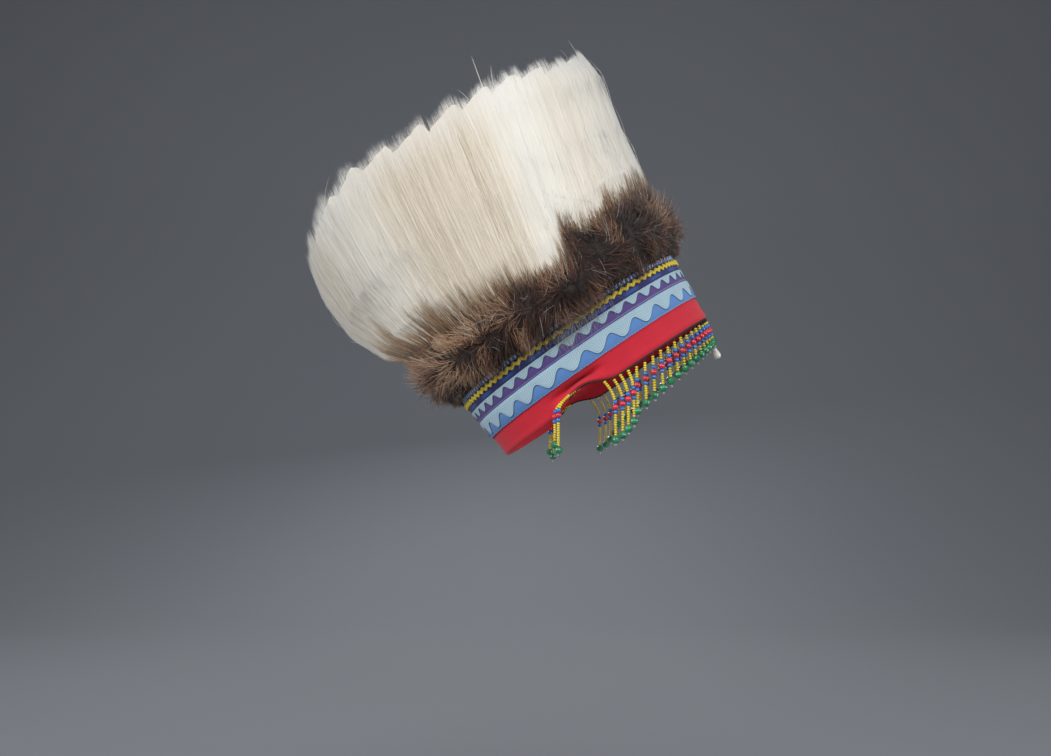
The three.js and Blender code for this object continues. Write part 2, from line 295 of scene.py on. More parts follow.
@dataclass(frozen=True)
class ZigzagFinish(WovenFinish):
    """Blue ribbon with a fine pale zigzag woven along it."""

    line: str = "#DCE8EF"
    pitch_mm: float = 3.4
    middle_mm: float = 57.4
    swing_mm: float = 2.6
    line_mm: float = 0.75

    def pattern(self, paint: Shading, length: Socket, height: Socket, base: Socket) -> Socket:
        """Paints the zigzag."""
        fold = paint.feed(MATH, {0: length, 1: self.pitch_mm / 2}, operation="PINGPONG")
        steepness = 2 * self.swing_mm / (self.pitch_mm / 2)
        rise = paint.feed(MATH, {0: fold, 1: steepness}, operation="MULTIPLY")
        line_height = paint.feed(MATH, {0: rise, 1: self.middle_mm - self.swing_mm}, operation="ADD")
        away = paint.feed(MATH, {0: height, 1: line_height}, operation="SUBTRACT")
        away = paint.feed(MATH, {0: away}, operation="ABSOLUTE")
        half = self.line_mm * math.hypot(1, steepness) / 2
        on_line = paint.feed(MATH, {0: away, 1: half}, operation="LESS_THAN")
        return paint.feed(MIX, {0: on_line, 6: base, 7: self.line}, 2, data_type="RGBA")


@dataclass(frozen=True)
class HairFinish:
    """Animal hair, seen strand by strand: dull at the root, paler or darker at the tip.

    Each strand holds its own tone and its length as coordinates, so the colour runs with the
    hair. The scales of real hair scatter light, so it is satin and not glossy.
    """

    name: str
    tones: tuple[tuple[float, str], ...]
    root: str
    root_reach: float
    tip: str
    tip_from: float
    tip_share: float
    roughness: float = 0.5
    sheen: float = 0.2

    def make(self) -> bpy.types.Material:
        """Returns the finished material."""
        paint = Shading(self.name)
        place = paint.node("ShaderNodeUVMap", uv_map=STRAND_UV)
        split = paint.node("ShaderNodeSeparateXYZ", {0: place.outputs["UV"]})
        tones = paint.node("ShaderNodeValToRGB", {0: split.outputs["X"]})
        colour_steps(tones, self.tones)
        to_root = paint.node("ShaderNodeMapRange", {0: split.outputs["Y"], 1: self.root_reach, 2: 0.0})
        colour = paint.feed(MIX, {0: to_root.outputs[0], 6: tones.outputs[0], 7: self.root}, 2,
                            data_type="RGBA")
        to_tip = paint.node("ShaderNodeMapRange", {0: split.outputs["Y"], 1: self.tip_from, 2: 1.0,
                                                   3: 0.0, 4: self.tip_share})
        colour = paint.feed(MIX, {0: to_tip.outputs[0], 6: colour, 7: self.tip}, 2, data_type="RGBA")
        paint.set(Base_Color=colour, Roughness=self.roughness, Specular_IOR_Level=0.35,
                  Sheen_Weight=self.sheen, Sheen_Roughness=0.4)
        return paint.material


@dataclass(frozen=True)
class PeltFinish:
    """The mass of hair under the outer strands: streaks that run with the hair."""

    name: str
    colour: str
    dark: str
    streak_mm: float

    def make(self) -> bpy.types.Material:
        """Returns the finished material."""
        paint = Shading(self.name)
        place = paint.node("ShaderNodeUVMap", uv_map=CLOTH_UV)
        stretch = paint.node("ShaderNodeMapping", {"Vector": place.outputs["UV"],
                                                   "Scale": (1 / self.streak_mm, 0.02, 1.0)})
        streaks = paint.node("ShaderNodeTexNoise", {"Vector": stretch.outputs[0], "Scale": 1.0,
                                                    "Detail": 6.0, "Roughness": 0.7})
        share = paint.node("ShaderNodeMapRange", {0: streaks.outputs[0], 1: 0.35, 2: 0.65}).outputs[0]
        bump = paint.feed(BUMP, {"Height": streaks.outputs[0], "Strength": 0.8, "Distance": 0.001})
        colour = paint.feed(MIX, {0: share, 6: self.dark, 7: self.colour}, 2, data_type="RGBA")
        paint.set(Base_Color=colour, Roughness=0.75, Normal=bump)
        return paint.material


@dataclass(frozen=True)
class BeadFinish:
    """Pressed glass, dyed through: smooth and glossy, a little uneven from bead to bead."""

    name: str
    colour: str
    deep: str
    roughness: float = 0.12
    glow: float = 0.0

    def make(self) -> bpy.types.Material:
        """Returns the finished material."""
        paint = Shading(self.name)
        place = paint.node("ShaderNodeTexCoord").outputs["Object"]
        cloud = paint.node("ShaderNodeTexNoise", {"Vector": place, "Scale": 220.0, "Detail": 2.0})
        share = paint.node("ShaderNodeMapRange", {0: cloud.outputs[0], 1: 0.35, 2: 0.7}).outputs[0]
        wear = paint.node("ShaderNodeMapRange", {0: cloud.outputs[0], 3: self.roughness,
                                                 4: self.roughness * 2.2}).outputs[0]
        colour = paint.feed(MIX, {0: share, 6: self.colour, 7: self.deep}, 2, data_type="RGBA")
        paint.set(Base_Color=colour, Roughness=wear, IOR=1.52,
                  Coat_Weight=0.5, Coat_Roughness=0.06, Transmission_Weight=self.glow)
        return paint.material


@dataclass(frozen=True)
class BoneFinish:
    """Polished bone: warm white with faint grain, and a soft shine."""

    name: str = "polished_bone"

    def make(self) -> bpy.types.Material:
        """Returns the finished material."""
        paint = Shading(self.name)
        place = paint.node("ShaderNodeTexCoord").outputs["Object"]
        grain = paint.node("ShaderNodeTexNoise", {"Vector": place, "Scale": 500.0, "Detail": 4.0})
        bump = paint.feed(BUMP, {"Height": grain.outputs[0], "Strength": 0.1, "Distance": 0.0001})
        colour = paint.feed(MIX, {0: grain.outputs[0], 6: "#E9E6DF", 7: "#CFCBC4"}, 2, data_type="RGBA")
        paint.set(Base_Color=colour, Roughness=0.28, Normal=bump, Coat_Weight=0.3)
        return paint.material


@dataclass(frozen=True)
class ThreadFinish:
    """Black waxed cotton thread: dull, with the twist of its plies, and painted shade in the grooves
    between them.
    """

    name: str = "black_thread"

    def make(self) -> bpy.types.Material:
        """Returns the finished material."""
        paint = Shading(self.name)
        place = paint.node("ShaderNodeTexCoord").outputs["Object"]
        twist = paint.node("ShaderNodeTexWave", {"Vector": place, "Scale": 700.0, "Distortion": 1.5},
                           bands_direction="DIAGONAL")
        bump = paint.feed(BUMP, {"Height": twist.outputs[1], "Strength": 0.4, "Distance": 0.0001})
        # Painted shade: the twist darkens the colour in the grooves between the plies.
        colour = paint.feed(MIX, {0: twist.outputs[1], 6: "#14120F", 7: "#2B2723"}, 2, data_type="RGBA")
        paint.set(Base_Color=colour, Roughness=0.7, Normal=bump)
        return paint.material


@dataclass(frozen=True)
class HeadShape:
    """The oval that the headdress is fitted to and how far it leans back, in millimetres."""

    length: float = 200.0
    width: float = 156.0
    tilt: float = math.radians(34.5)
    flare: float = 5.0
    band_height: float = 61.0
    ear_setback: float = 27.0
    ear_reach: float = 30.0
    ear_lift: float = 9.0
    ear_lift_height: float = 16.0
    crease_depth: float = 11.0
    crease_height: float = 11.5
    crease_spread: float = 3.3
    rim_roll: float = 2.2

    def oval(self, angle: np.ndarray, out: Numbers, height: Numbers) -> np.ndarray:
        """Points of the upright headdress, a distance out from the rim's oval."""
        x = (self.length / 2 + out) * np.cos(angle)
        y = (self.width / 2 + out) * np.sin(angle)
        return np.stack(np.broadcast_arrays(x, y, height), axis=-1)

    def outward(self, angle: np.ndarray) -> np.ndarray:
        """Direction away from the middle of the worn headdress, at each angle."""
        return unit(self.worn(self.oval(angle, 60.0, 0.0)))

    def band(self, angle: np.ndarray, out: np.ndarray, height: np.ndarray) -> np.ndarray:
        """Points of the upright headdress, a distance out from the band's flared face."""
        return self.oval(angle, out + self.flare * height / self.band_height, height)

    def worn(self, points: np.ndarray) -> np.ndarray:
        """Leans upright points back, as worn, and turns them to metres."""
        x, y, z = points[..., 0], points[..., 1], points[..., 2]
        c, s = math.cos(self.tilt), math.sin(self.tilt)
        return np.stack([x * c - z * s, y, x * s + z * c], axis=-1) * MM

    def ear_share(self, angle: np.ndarray) -> np.ndarray:
        """From 0 away from the two side lifts to 1 at the middle of one."""
        away = (self.length / 2 * np.cos(angle) + self.ear_setback) / self.ear_reach
        bump = 0.5 + 0.5 * np.cos(np.pi * np.clip(away, -1, 1))
        return bump * np.abs(np.sin(angle))

    def cloth(self, angle: np.ndarray, out: np.ndarray, height: np.ndarray) -> np.ndarray:
        """Points of the cloth band, lifted and creased at each side."""
        ear = self.ear_share(angle)
        near_rim = np.clip(1 - height / self.ear_lift_height, 0, 1)
        away = (height - self.crease_height) / self.crease_spread
        crease = self.crease_depth * ear * np.exp(-(away**2))
        roll = self.rim_roll * ear * np.exp(-(((height - 3) / 4) ** 2))
        return self.band(angle, out - crease + roll, height + self.ear_lift * ear * near_rim)

    @property
    def level(self) -> np.ndarray:
        """The worn headdress's forward direction, in the upright headdress."""
        return np.array([math.cos(self.tilt), 0.0, -math.sin(self.tilt)])

    @property
    def down(self) -> np.ndarray:
        """Straight down for the worn headdress, in the upright headdress."""
        return np.array([-math.sin(self.tilt), 0.0, -math.cos(self.tilt)])


def azimuth(angle: np.ndarray) -> np.ndarray:
    """Degrees from the front, the same on both sides."""
    turned = np.abs(np.degrees(angle)) % 360
    return np.where(turned > 180, 360 - turned, turned)


def spun(line: Sequence[tuple[float, float]], steps: int, closed: bool, merge: float) -> bmesh.types.BMesh:
    """Spins a line a full turn round Z.

    Args:
        line: its corners as distance out and height.
        steps: how many steps the turn has.
        closed: whether the line ends where it starts.
        merge: corners closer than this are made one.

    Returns:
        The surface.
    """
    bm = bmesh.new()
    verts = [bm.verts.new((out, 0.0, height)) for out, height in line]
    ends = verts[1:] + verts[:1] if closed else verts[1:]
    edges = [bm.edges.new(pair) for pair in zip(verts, ends)]
    bmesh.ops.spin(bm, geom=verts + edges, cent=(0, 0, 0), axis=(0, 0, 1), angle=2 * math.pi,
                   steps=steps, use_merge=True)
    bmesh.ops.remove_doubles(bm, verts=bm.verts, dist=merge)
    bmesh.ops.recalc_face_normals(bm, faces=bm.faces)
    return bm


def spun_ring(section: Sequence[tuple[float, float]], steps: int) -> bmesh.types.BMesh:
    """Spins a closed section, as distances out and heights, to a ring at ROUND_RADIUS."""
    return spun([(ROUND_RADIUS + out, height) for out, height in section], steps, True, 1e-4)


def lay_cloth_uv(bm: bmesh.types.BMesh, mean_radius: float) -> None:
    """Lays a map in millimetres on a round ring: the length round it and its height."""
    layer = bm.loops.layers.uv.new(CLOTH_UV)
    for face in bm.faces:
        middle = face.calc_center_median()
        centre = math.atan2(middle.y, middle.x)
        for loop in face.loops:
            turn = math.atan2(loop.vert.co.y, loop.vert.co.x)
            turn += 2 * math.pi * round((centre - turn) / (2 * math.pi))
            loop[layer].uv = (turn * mean_radius, loop.vert.co.z)


def fit(bm: bmesh.types.BMesh, head: HeadShape, place: Placer) -> None:
    """Moves a round ring to its place on the oval.

    Args:
        bm: the ring, from spun_ring.
        head: the oval's shape and lean.
        place: gives upright points from angles, distances out and heights.
    """
    flat = np.array([vert.co[:] for vert in bm.verts])
    angle = np.arctan2(flat[:, 1], flat[:, 0])
    out = np.hypot(flat[:, 0], flat[:, 1]) - ROUND_RADIUS
    worn = head.worn(place(angle, out, flat[:, 2]))
    for vert, point in zip(bm.verts, worn):
        vert.co = point


def rounded(low: float, high: float, inner: float, outer: float,
            bevel: float) -> list[tuple[float, float]]:
    """Corners of a flat strip's section with its four edges bevelled."""
    return [
        (inner, low + bevel), (inner + bevel, low), (outer - bevel, low), (outer, low + bevel),
        (outer, (low + high) / 2),
        (outer, high - bevel), (outer - bevel, high), (inner + bevel, high), (inner, high - bevel),
    ]


class Workshop:
    """Turns finished meshes into pieces that ride on the model."""

    def __init__(self) -> None:
        """Starts an empty list of pieces."""
        self.pieces: list[bpy.types.Object] = []
        self.triangles = 0

    def piece(self, name: str, mesh: bpy.types.Mesh, material: bpy.types.Material,
              stands_for: Sequence[str] = (), smooth: bool = True) -> bpy.types.Object:
        """Args:
            name: the piece's name.
            mesh: its mesh, in metres, in the frame's place.
            material: its finish.
            stands_for: the nodes that it replaces.
            smooth: whether its faces are shaded smooth.

        Returns:
            The new object.
        """
        mesh.name = name
        mesh.materials.append(material)
        if not mesh.has_custom_normals:
            shade = mesh.shade_smooth if smooth else mesh.shade_flat
            shade()
        made = bpy.data.objects.new(name, mesh)
        bpy.context.scene.collection.objects.link(made)
        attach(made, Body.ROOT.value)
        for node in stands_for:
            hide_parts(node)
        self.pieces.append(made)
        triangles = len(mesh.loops) - 2 * len(mesh.polygons)
        self.triangles += triangles
        log.info("%s: %d triangles", name, triangles)
        return made

    def from_bmesh(self, name: str, bm: bmesh.types.BMesh, material: bpy.types.Material,
                   stands_for: Sequence[str] = (), smooth: bool = True) -> bpy.types.Object:
        """Makes a piece from a bmesh, and frees the bmesh."""
        mesh = bpy.data.meshes.new(name)
        bm.to_mesh(mesh)
        bm.free()
        return self.piece(name, mesh, material, stands_for, smooth)


class Strands:
    """Thousands of thin tapered strands, joined in one mesh from arrays.

    One three-sided strand is modelled once, as a cone cut at each station, and every strand is
    a copy of it whose stations follow a path of their own.
    """

    def __init__(self, stations: int, sides: int = 3, softness: float = 0.7) -> None:
        """Models the strand that is copied.

        Args:
            stations: how many places along the strand follow its path.
            sides: how many sides it has.
            softness: how far its shading follows the whole coat and not its own round.
        """
        self.stations = stations
        self.softness = softness
        bm = bmesh.new()
        tall = float(stations - 1)
        bmesh.ops.create_cone(bm, cap_ends=True, cap_tris=False, segments=sides, radius1=1.0,
                              radius2=0.0, depth=tall, matrix=Matrix.Translation((0, 0, tall / 2)))
        for level in range(1, stations - 1):
            geometry = bm.verts[:] + bm.edges[:] + bm.faces[:]
            bmesh.ops.bisect_plane(bm, geom=geometry, plane_co=(0, 0, level), plane_no=(0, 0, 1))
        bmesh.ops.remove_doubles(bm, verts=bm.verts, dist=1e-4)
        bmesh.ops.triangulate(bm, faces=bm.faces)
        bmesh.ops.recalc_face_normals(bm, faces=bm.faces)
        bm.verts.index_update()
        self.station = np.array([round(vert.co.z) for vert in bm.verts])
        self.turn = np.array([math.atan2(vert.co.y, vert.co.x) for vert in bm.verts])
        self.faces = np.array([[vert.index for vert in face.verts] for face in bm.faces])
        bm.free()
        self.parts: list[tuple[np.ndarray, np.ndarray, np.ndarray]] = []

    @property
    def triangles(self) -> int:
        """How many triangles one strand has."""
        return len(self.faces)

    def add(self, paths: np.ndarray, thickness: np.ndarray, tone: np.ndarray, facing: np.ndarray) -> None:
        """Adds strands.

        Args:
            paths: strands by stations by 3, in metres.
            thickness: each strand's thickness at its root, in metres.
            tone: each strand's tone, 0 to 1.
            facing: strands by 3, a direction that each strand's flat side turns to.
        """
        run = np.gradient(paths, axis=1)
        run /= np.linalg.norm(run, axis=2, keepdims=True) + 1e-12
        side = np.cross(run, facing[:, None, :])
        side /= np.linalg.norm(side, axis=2, keepdims=True) + 1e-12
        up = np.cross(run, side)
        share = np.arange(self.stations) / (self.stations - 1)
        radius = thickness[:, None] / 2 * (1 - share[None, :] ** 2) ** 0.5
        at = self.station
        round_it = np.cos(self.turn)[None, :, None] * side[:, at]
        round_it = round_it + np.sin(self.turn)[None, :, None] * up[:, at]
        coat = facing[:, None, :] / (np.linalg.norm(facing, axis=1)[:, None, None] + 1e-12)
        shading = unit(coat * self.softness + round_it * (1 - self.softness))
        self.parts.append((paths[:, at] + radius[:, at, None] * round_it, tone, shading))

    def mesh(self) -> bpy.types.Mesh:
        """Joins what was added into one mesh, with each strand's tone and length as its map."""
        places = np.concatenate([part[0] for part in self.parts])
        tone = np.concatenate([part[1] for part in self.parts])
        count, corners = places.shape[0], places.shape[1]
        faces = (self.faces[None] + np.arange(count)[:, None, None] * corners).reshape(-1, 3)
        mesh = bpy.data.meshes.new("strands")
        mesh.vertices.add(count * corners)
        mesh.vertices.foreach_set("co", places.reshape(-1).astype(np.float32))
        mesh.loops.add(faces.size)
        mesh.loops.foreach_set("vertex_index", faces.reshape(-1).astype(np.int32))
        mesh.polygons.add(len(faces))
        mesh.polygons.foreach_set("loop_start", np.arange(0, faces.size, 3, dtype=np.int32))
        along = self.station / (self.stations - 1)
        within = (np.cos(self.turn) * 0.5 + 0.5) * 0.004
        u = np.clip(tone, 0.01, 0.985)[:, None] + within[None, :]
        v = np.broadcast_to(along[None, :] * 0.98 + 0.01, u.shape)
        uv = np.stack([u, v], axis=-1).reshape(-1, 2)[faces.reshape(-1)].reshape(-1)
        for layer in (STRAND_UV, BAKE_UV):
            mesh.uv_layers.new(name=layer).data.foreach_set("uv", uv.astype(np.float32))
        mesh.update()
        mesh.validate()
        shading = np.concatenate([part[2] for part in self.parts]).reshape(-1, 3)
        mesh.shade_smooth()
        mesh.normals_split_custom_set_from_vertices(shading.tolist())
        return mesh


@dataclass
class Headband:
    """Red cloth band, its rim folded to a soft round edge, and the ribbons sewn on it."""

    head: HeadShape
    steps: int = 288
    wall: float = 2.2
    gap: float = 0.35
    ribbon: float = 0.8
    bare_red: float = 18.5
    blue_top: float = 34.5
    purple_top: float = 44.5
    navy_top: float = 54.3
    outside_levels: tuple[float, ...] = (7.0, 9.0, 11.0, 12.5, 14.0, 16.0, 18.0, 24.0, 36.0, 48.0)
    inside_levels: tuple[float, ...] = (48.0, 36.0, 24.0, 18.0, 14.0, 12.5, 11.0, 9.0, 6.0, 1.6)
    # Height and length of the cloth band before it is joined to a ring, in metres.
    cut_size: tuple[float, float] = (0.061, 0.577)

    def cloth_section(self) -> list[tuple[float, float]]:
        """Corners of the band's section: up the outside, over the top and down the inside."""
        top = self.head.band_height
        outside = [(0.05, 1.3), (0.35, 2.4), (0.3, 3.8), (0.0, 5.2)]
        outside += [(0.0, height) for height in self.outside_levels]
        outside += [(0.0, top - 0.7), (-0.5, top)]
        inside = [(-self.wall + 0.5, top), (-self.wall, top - 0.7)]
        inside += [(-self.wall, height) for height in self.inside_levels]
        rim = [(-self.wall * 0.8, 0.5), (-self.wall * 0.45, 0.0), (-0.4, 0.35)]
        return outside + inside + rim

    def build(self, shop: Workshop) -> None:
        """Makes the cloth and its four ribbons."""
        bm = spun_ring(self.cloth_section(), self.steps)
        lay_cloth_uv(bm, BAND_RADIUS)
        fit(bm, self.head, self.head.cloth)
        cloth = WovenFinish("red_brushed_cotton", "#CC2537", "#A61A2A", thread_mm=0.7, lint=0.0045)
        band = shop.from_bmesh("red_headband", bm, cloth.make(), ["headband"])
        top = self.head.band_height
        blue = WovenFinish("mid_blue_ribbon", "#5F8AC4", "#4E78B2", rib=0.8, edge="#86A0C8",
                           edge_mm=(self.bare_red, self.bare_red + 0.7))
        purple = WovenFinish("purple_ribbon", "#5E4D88", "#463A70", rib=0.8, edge="#8479A8",
                             edge_mm=(self.blue_top + 0.4, self.blue_top + 1.1), stitch_mm=0.0)
        navy = DashedFinish("navy_ribbon", "#35356E", "#25264F", rib=0.8,
                            edge_mm=(self.purple_top + 1.0, self.purple_top + 3.6))
        zigzag = ZigzagFinish("zigzag_ribbon", "#4F7EC6", "#3C5CA6", rib=0.8)
        ribbons = (
            ("mid_blue_ribbon", self.bare_red, self.blue_top, blue, Slot.BLUE_RIBBON, "blue_wave_ribbon"),
            ("purple_ribbon", self.blue_top, self.purple_top, purple, Slot.PURPLE_RIBBON,
             "purple_wave_ribbon"),
            ("dashed_navy_ribbon", self.purple_top, self.navy_top, navy, Slot.NAVY_RIBBON, "navy_ribbon"),
            ("fine_zigzag_ribbon", self.navy_top, top, zigzag, Slot.ZIGZAG_RIBBON, "blue_zigzag_ribbon"),
        )
        for name, low, high, finish, slot, node in ribbons:
            self.lay_ribbon(shop, name, low, high, finish, node)

    def lay_ribbon(self, shop: Workshop, name: str, low: float, high: float, finish: WovenFinish,
                   node: str) -> None:
        """Makes one flat ribbon between two heights."""
        section = rounded(low, high - 0.15, self.gap, self.gap + self.ribbon, 0.25)
        bm = spun_ring(section, self.steps)
        lay_cloth_uv(bm, BAND_RADIUS)

        def place(angle: np.ndarray, out: np.ndarray, height: np.ndarray) -> np.ndarray:
            """The ribbon puckers a little between its stitches."""
            pucker = 0.12 * np.sin(angle * 61) + 0.08 * np.sin(angle * 23 + height * 0.3)
            return self.head.band(angle, out, height + pucker * 0.6)

        fit(bm, self.head, place)
        shop.from_bmesh(name, bm, finish.make(), [node])


@dataclass
class WaveBraid:
    """Light-blue braid laid on a ribbon: straight along its top, waves along its bottom."""

    head: HeadShape
    name: str
    top: float
    trough: float
    crest: float
    waves: int
    slot: Slot
    out: float = 1.1
    thickness: float = 0.65
    steps_a_wave: int = 20
    rise_share: float = 0.62

    def edge(self, angle: np.ndarray) -> np.ndarray:
        """Height of the wavy lower edge: it rises slowly and falls fast along the band."""
        phase = (angle / (2 * np.pi) * self.waves) % 1.0
        rising = 0.5 - 0.5 * np.cos(np.pi * phase / self.rise_share)
        falling = 0.5 + 0.5 * np.cos(np.pi * (phase - self.rise_share) / (1 - self.rise_share))
        share = np.where(phase < self.rise_share, rising, falling)
        return self.trough + (self.crest - self.trough) * share**1.15

    def build(self, shop: Workshop) -> None:
        """Makes the braid."""
        inner, outer = self.out, self.out + self.thickness
        section = [(inner, 0.03), (outer - 0.2, 0.0), (outer, 0.045), (outer, 0.35), (outer, 0.7),
                   (outer, 0.97), (outer - 0.2, 1.0), (inner, 1.0)]
        bm = spun_ring(section, self.waves * self.steps_a_wave)

        def place(angle: np.ndarray, out: np.ndarray, share: np.ndarray) -> np.ndarray:
            """Stretches the strip's height from its wavy edge to its straight one."""
            low = self.edge(angle)
            return self.head.band(angle, out, low + (self.top - low) * share)

        lay_cloth_uv(bm, BAND_RADIUS)
        layer = bm.loops.layers.uv[CLOTH_UV]
        for face in bm.faces:
            for loop in face.loops:
                spot = loop.vert.co
                tall = self.top - float(self.edge(np.array(math.atan2(spot.y, spot.x))))
                loop[layer].uv.y = tall * spot.z
        fit(bm, self.head, place)
        # The braid's dark edge colour is painted shade: a shadow line along its wavy lower edge and side
        # wall.
        finish = WovenFinish("light_blue_braid", "#AAC3D0", "#7B98A8", thread_mm=0.85, rib=0.3,
                             contrast=0.5, edge="#5E7488", edge_mm=(-1.0, 0.5), stitch_mm=0.0)
        shop.from_bmesh(self.name, bm, finish.make())


@dataclass
class RickRack:
    """Yellow zigzag braid: a narrow domed braid that swings up and down."""

    head: HeadShape
    height: float = 51.1
    zigzags: int = 96
    swing: float = 1.0
    width: float = 3.1
    out: float = 1.5
    thickness: float = 1.1
    steps_a_zigzag: int = 10

    def build(self, shop: Workshop) -> None:
        """Makes the braid, with a groove along its middle between its two plies."""
        half = self.width / 2
        section = [(self.out, -half), (self.out + 0.5, -half * 1.02),
                   (self.out + self.thickness, -half * 0.5),
                   (self.out + self.thickness * 0.82, 0.0), (self.out + self.thickness, half * 0.5),
                   (self.out + 0.5, half * 1.02), (self.out, half)]
        bm = spun_ring(section, self.zigzags * self.steps_a_zigzag)
        lay_cloth_uv(bm, BAND_RADIUS)

        def place(angle: np.ndarray, out: np.ndarray, across: np.ndarray) -> np.ndarray:
            """Swings the braid, with soft corners, and thickens it at each corner."""
            turn = angle * self.zigzags
            swing = np.arcsin(0.9 * np.sin(turn)) / np.arcsin(0.9)
            plait = 0.12 * np.sin(turn * 6)
            height = self.height + across + self.swing * swing
            return self.head.band(angle, out + plait * (across != 0), height)

        fit(bm, self.head, place)
        finish = WovenFinish("yellow_rick_rack", "#E6CF45", "#C4A92C", thread_mm=0.45, rib=0.6,
                             sheen=0.15)
        shop.from_bmesh("yellow_rick_rack", bm, finish.make(), ["yellow_rickrack"])


@dataclass
class FurForm:
    """Where brown fur and white hair lie: the hair line, the roll and the crest."""

    head: HeadShape
    roll_skirt: float = 8.0
    step_down: float = 12.0
    crest_top: float = 234.0
    crest_flare: float = 50.0
    crest_wall: float = 42.0

    # Hair line: degrees from the front, and height as a share of the band's height.
    hair_line = ((0, 1.79), (40, 1.79), (58, 1.74), (70, 1.66), (76, 1.84), (83, 1.39), (95, 1.5),
                 (108, 1.6), (126, 1.62), (145, 1.7), (165, 1.76), (180, 1.74))
    # Tips: degrees from the front, and height as a share of crest_top.
    crest_line = ((0, 1.03), (16, 1.05), (32, 0.995), (45, 0.99), (60, 1.0), (95, 1.015), (125, 1.045),
                  (145, 1.015), (165, 0.94), (180, 0.885))
    # Crest's outer face: rise, reach at the front, sides and back as shares of crest_flare,
    # and the thickness of the hair as a share of crest_wall.
    crest_form = ((0.0, 0.34, 0.34, 0.34, 0.45), (0.16, 0.44, 0.5, 0.68, 0.6),
                  (0.46, 0.58, 0.66, 0.96, 0.82), (0.8, 0.82, 0.76, 1.0, 0.86),
                  (1.0, 0.78, 0.72, 0.92, 0.62))
    # Roll's skin from its inner lip, under and round to the hair line: distance out, and
    # height as a share of the way from the lip to the hair line.
    roll_form = ((0.0, 3.6, 0.0), (0.14, 10.0, -0.02), (0.32, 18.5, 0.2), (0.58, 23.0, 0.58),
                 (0.82, 21.5, 0.86), (1.0, 17.0, 1.02))

    def line(self, angle: np.ndarray) -> np.ndarray:
        """Height of the hair line."""
        degrees, shares = zip(*self.hair_line)
        return self.head.band_height * np.interp(azimuth(angle), degrees, shares)

    def lip(self, angle: np.ndarray) -> np.ndarray:
        """Height of the roll's lower lip."""
        return self.head.band_height - self.roll_skirt * (0.55 + 0.45 * np.sin(angle) ** 2)

    def tip(self, angle: np.ndarray) -> np.ndarray:
        """Height of the crest's tips."""
        degrees, shares = zip(*self.crest_line)
        return self.crest_top * np.interp(azimuth(angle), degrees, shares)

    def crest_point(self, angle: np.ndarray, depth: np.ndarray, rise: np.ndarray) -> np.ndarray:
        """Upright point in the crest.

        Args:
            angle: angle round the rim.
            depth: 0 on its outer face to 1 on its inner face.
            rise: 0 at the root to 1 at the tip.

        Returns:
            The points, in millimetres.
        """
        rises, front, side, back, wall = (np.array(column) for column in zip(*self.crest_form))
        ahead = np.cos(angle)
        at_end = np.where(ahead > 0, np.interp(rise, rises, front), np.interp(rise, rises, back))
        reach = self.crest_flare * (np.interp(rise, rises, side) * (1 - ahead**2) + at_end * ahead**2)
        out = self.head.flare + reach - depth * self.crest_wall * np.interp(rise, rises, wall)
        root = self.line(angle) - depth * self.step_down
        return self.head.oval(angle, out, root + (self.tip(angle) - root) * rise)

    def roll_point(self, angle: np.ndarray, round_share: np.ndarray, sink: Numbers) -> np.ndarray:
        """Upright point on the roll, sunk below its fur's outer face by some millimetres."""
        shares, outs, rises = (np.array(column) for column in zip(*self.roll_form))
        low, high = self.lip(angle), self.line(angle)
        step = 0.02
        out, rise = np.interp(round_share, shares, outs), np.interp(round_share, shares, rises)
        ahead, back = round_share + step, round_share - step
        out_on = np.interp(ahead, shares, outs) - np.interp(back, shares, outs)
        rise_on = (np.interp(ahead, shares, rises) - np.interp(back, shares, rises)) * (high - low)
        long = np.hypot(out_on, rise_on) + 1e-9
        out = out - sink * rise_on / long
        height = low + (high - low) * rise + sink * out_on / long
        return self.head.oval(angle, self.head.flare + out, height)


def unit(vectors: np.ndarray) -> np.ndarray:
    """Vectors scaled to a length of 1."""
    return vectors / (np.linalg.norm(vectors, axis=-1, keepdims=True) + 1e-12)


def smooth_random(rng: np.random.Generator, count: int, angle: np.ndarray) -> np.ndarray:
    """A random value of about 0 to 1 that changes softly round the rim, over count patches."""
    knots = rng.random(count)
    place = (angle / (2 * np.pi) % 1.0) * count
    low = np.floor(place).astype(int) % count
    share = place - np.floor(place)
    share = share * share * (3 - 2 * share)
    return knots[low] * (1 - share) + knots[(low + 1) % count] * share


def patchy(rng: np.random.Generator, columns: int, rows: int, angle: np.ndarray,
           share: np.ndarray) -> np.ndarray:
    """A random value of 0 to 1 that changes softly round the rim and across the fur."""
    levels = np.stack([smooth_random(rng, columns, angle) for _ in range(rows + 1)])
    place = np.clip(share, 0, 0.999) * rows
    low = np.floor(place).astype(int)
    part = place - low
    part = part * part * (3 - 2 * part)
    each = np.arange(len(angle))
    return levels[low, each] * (1 - part) + levels[low + 1, each] * part


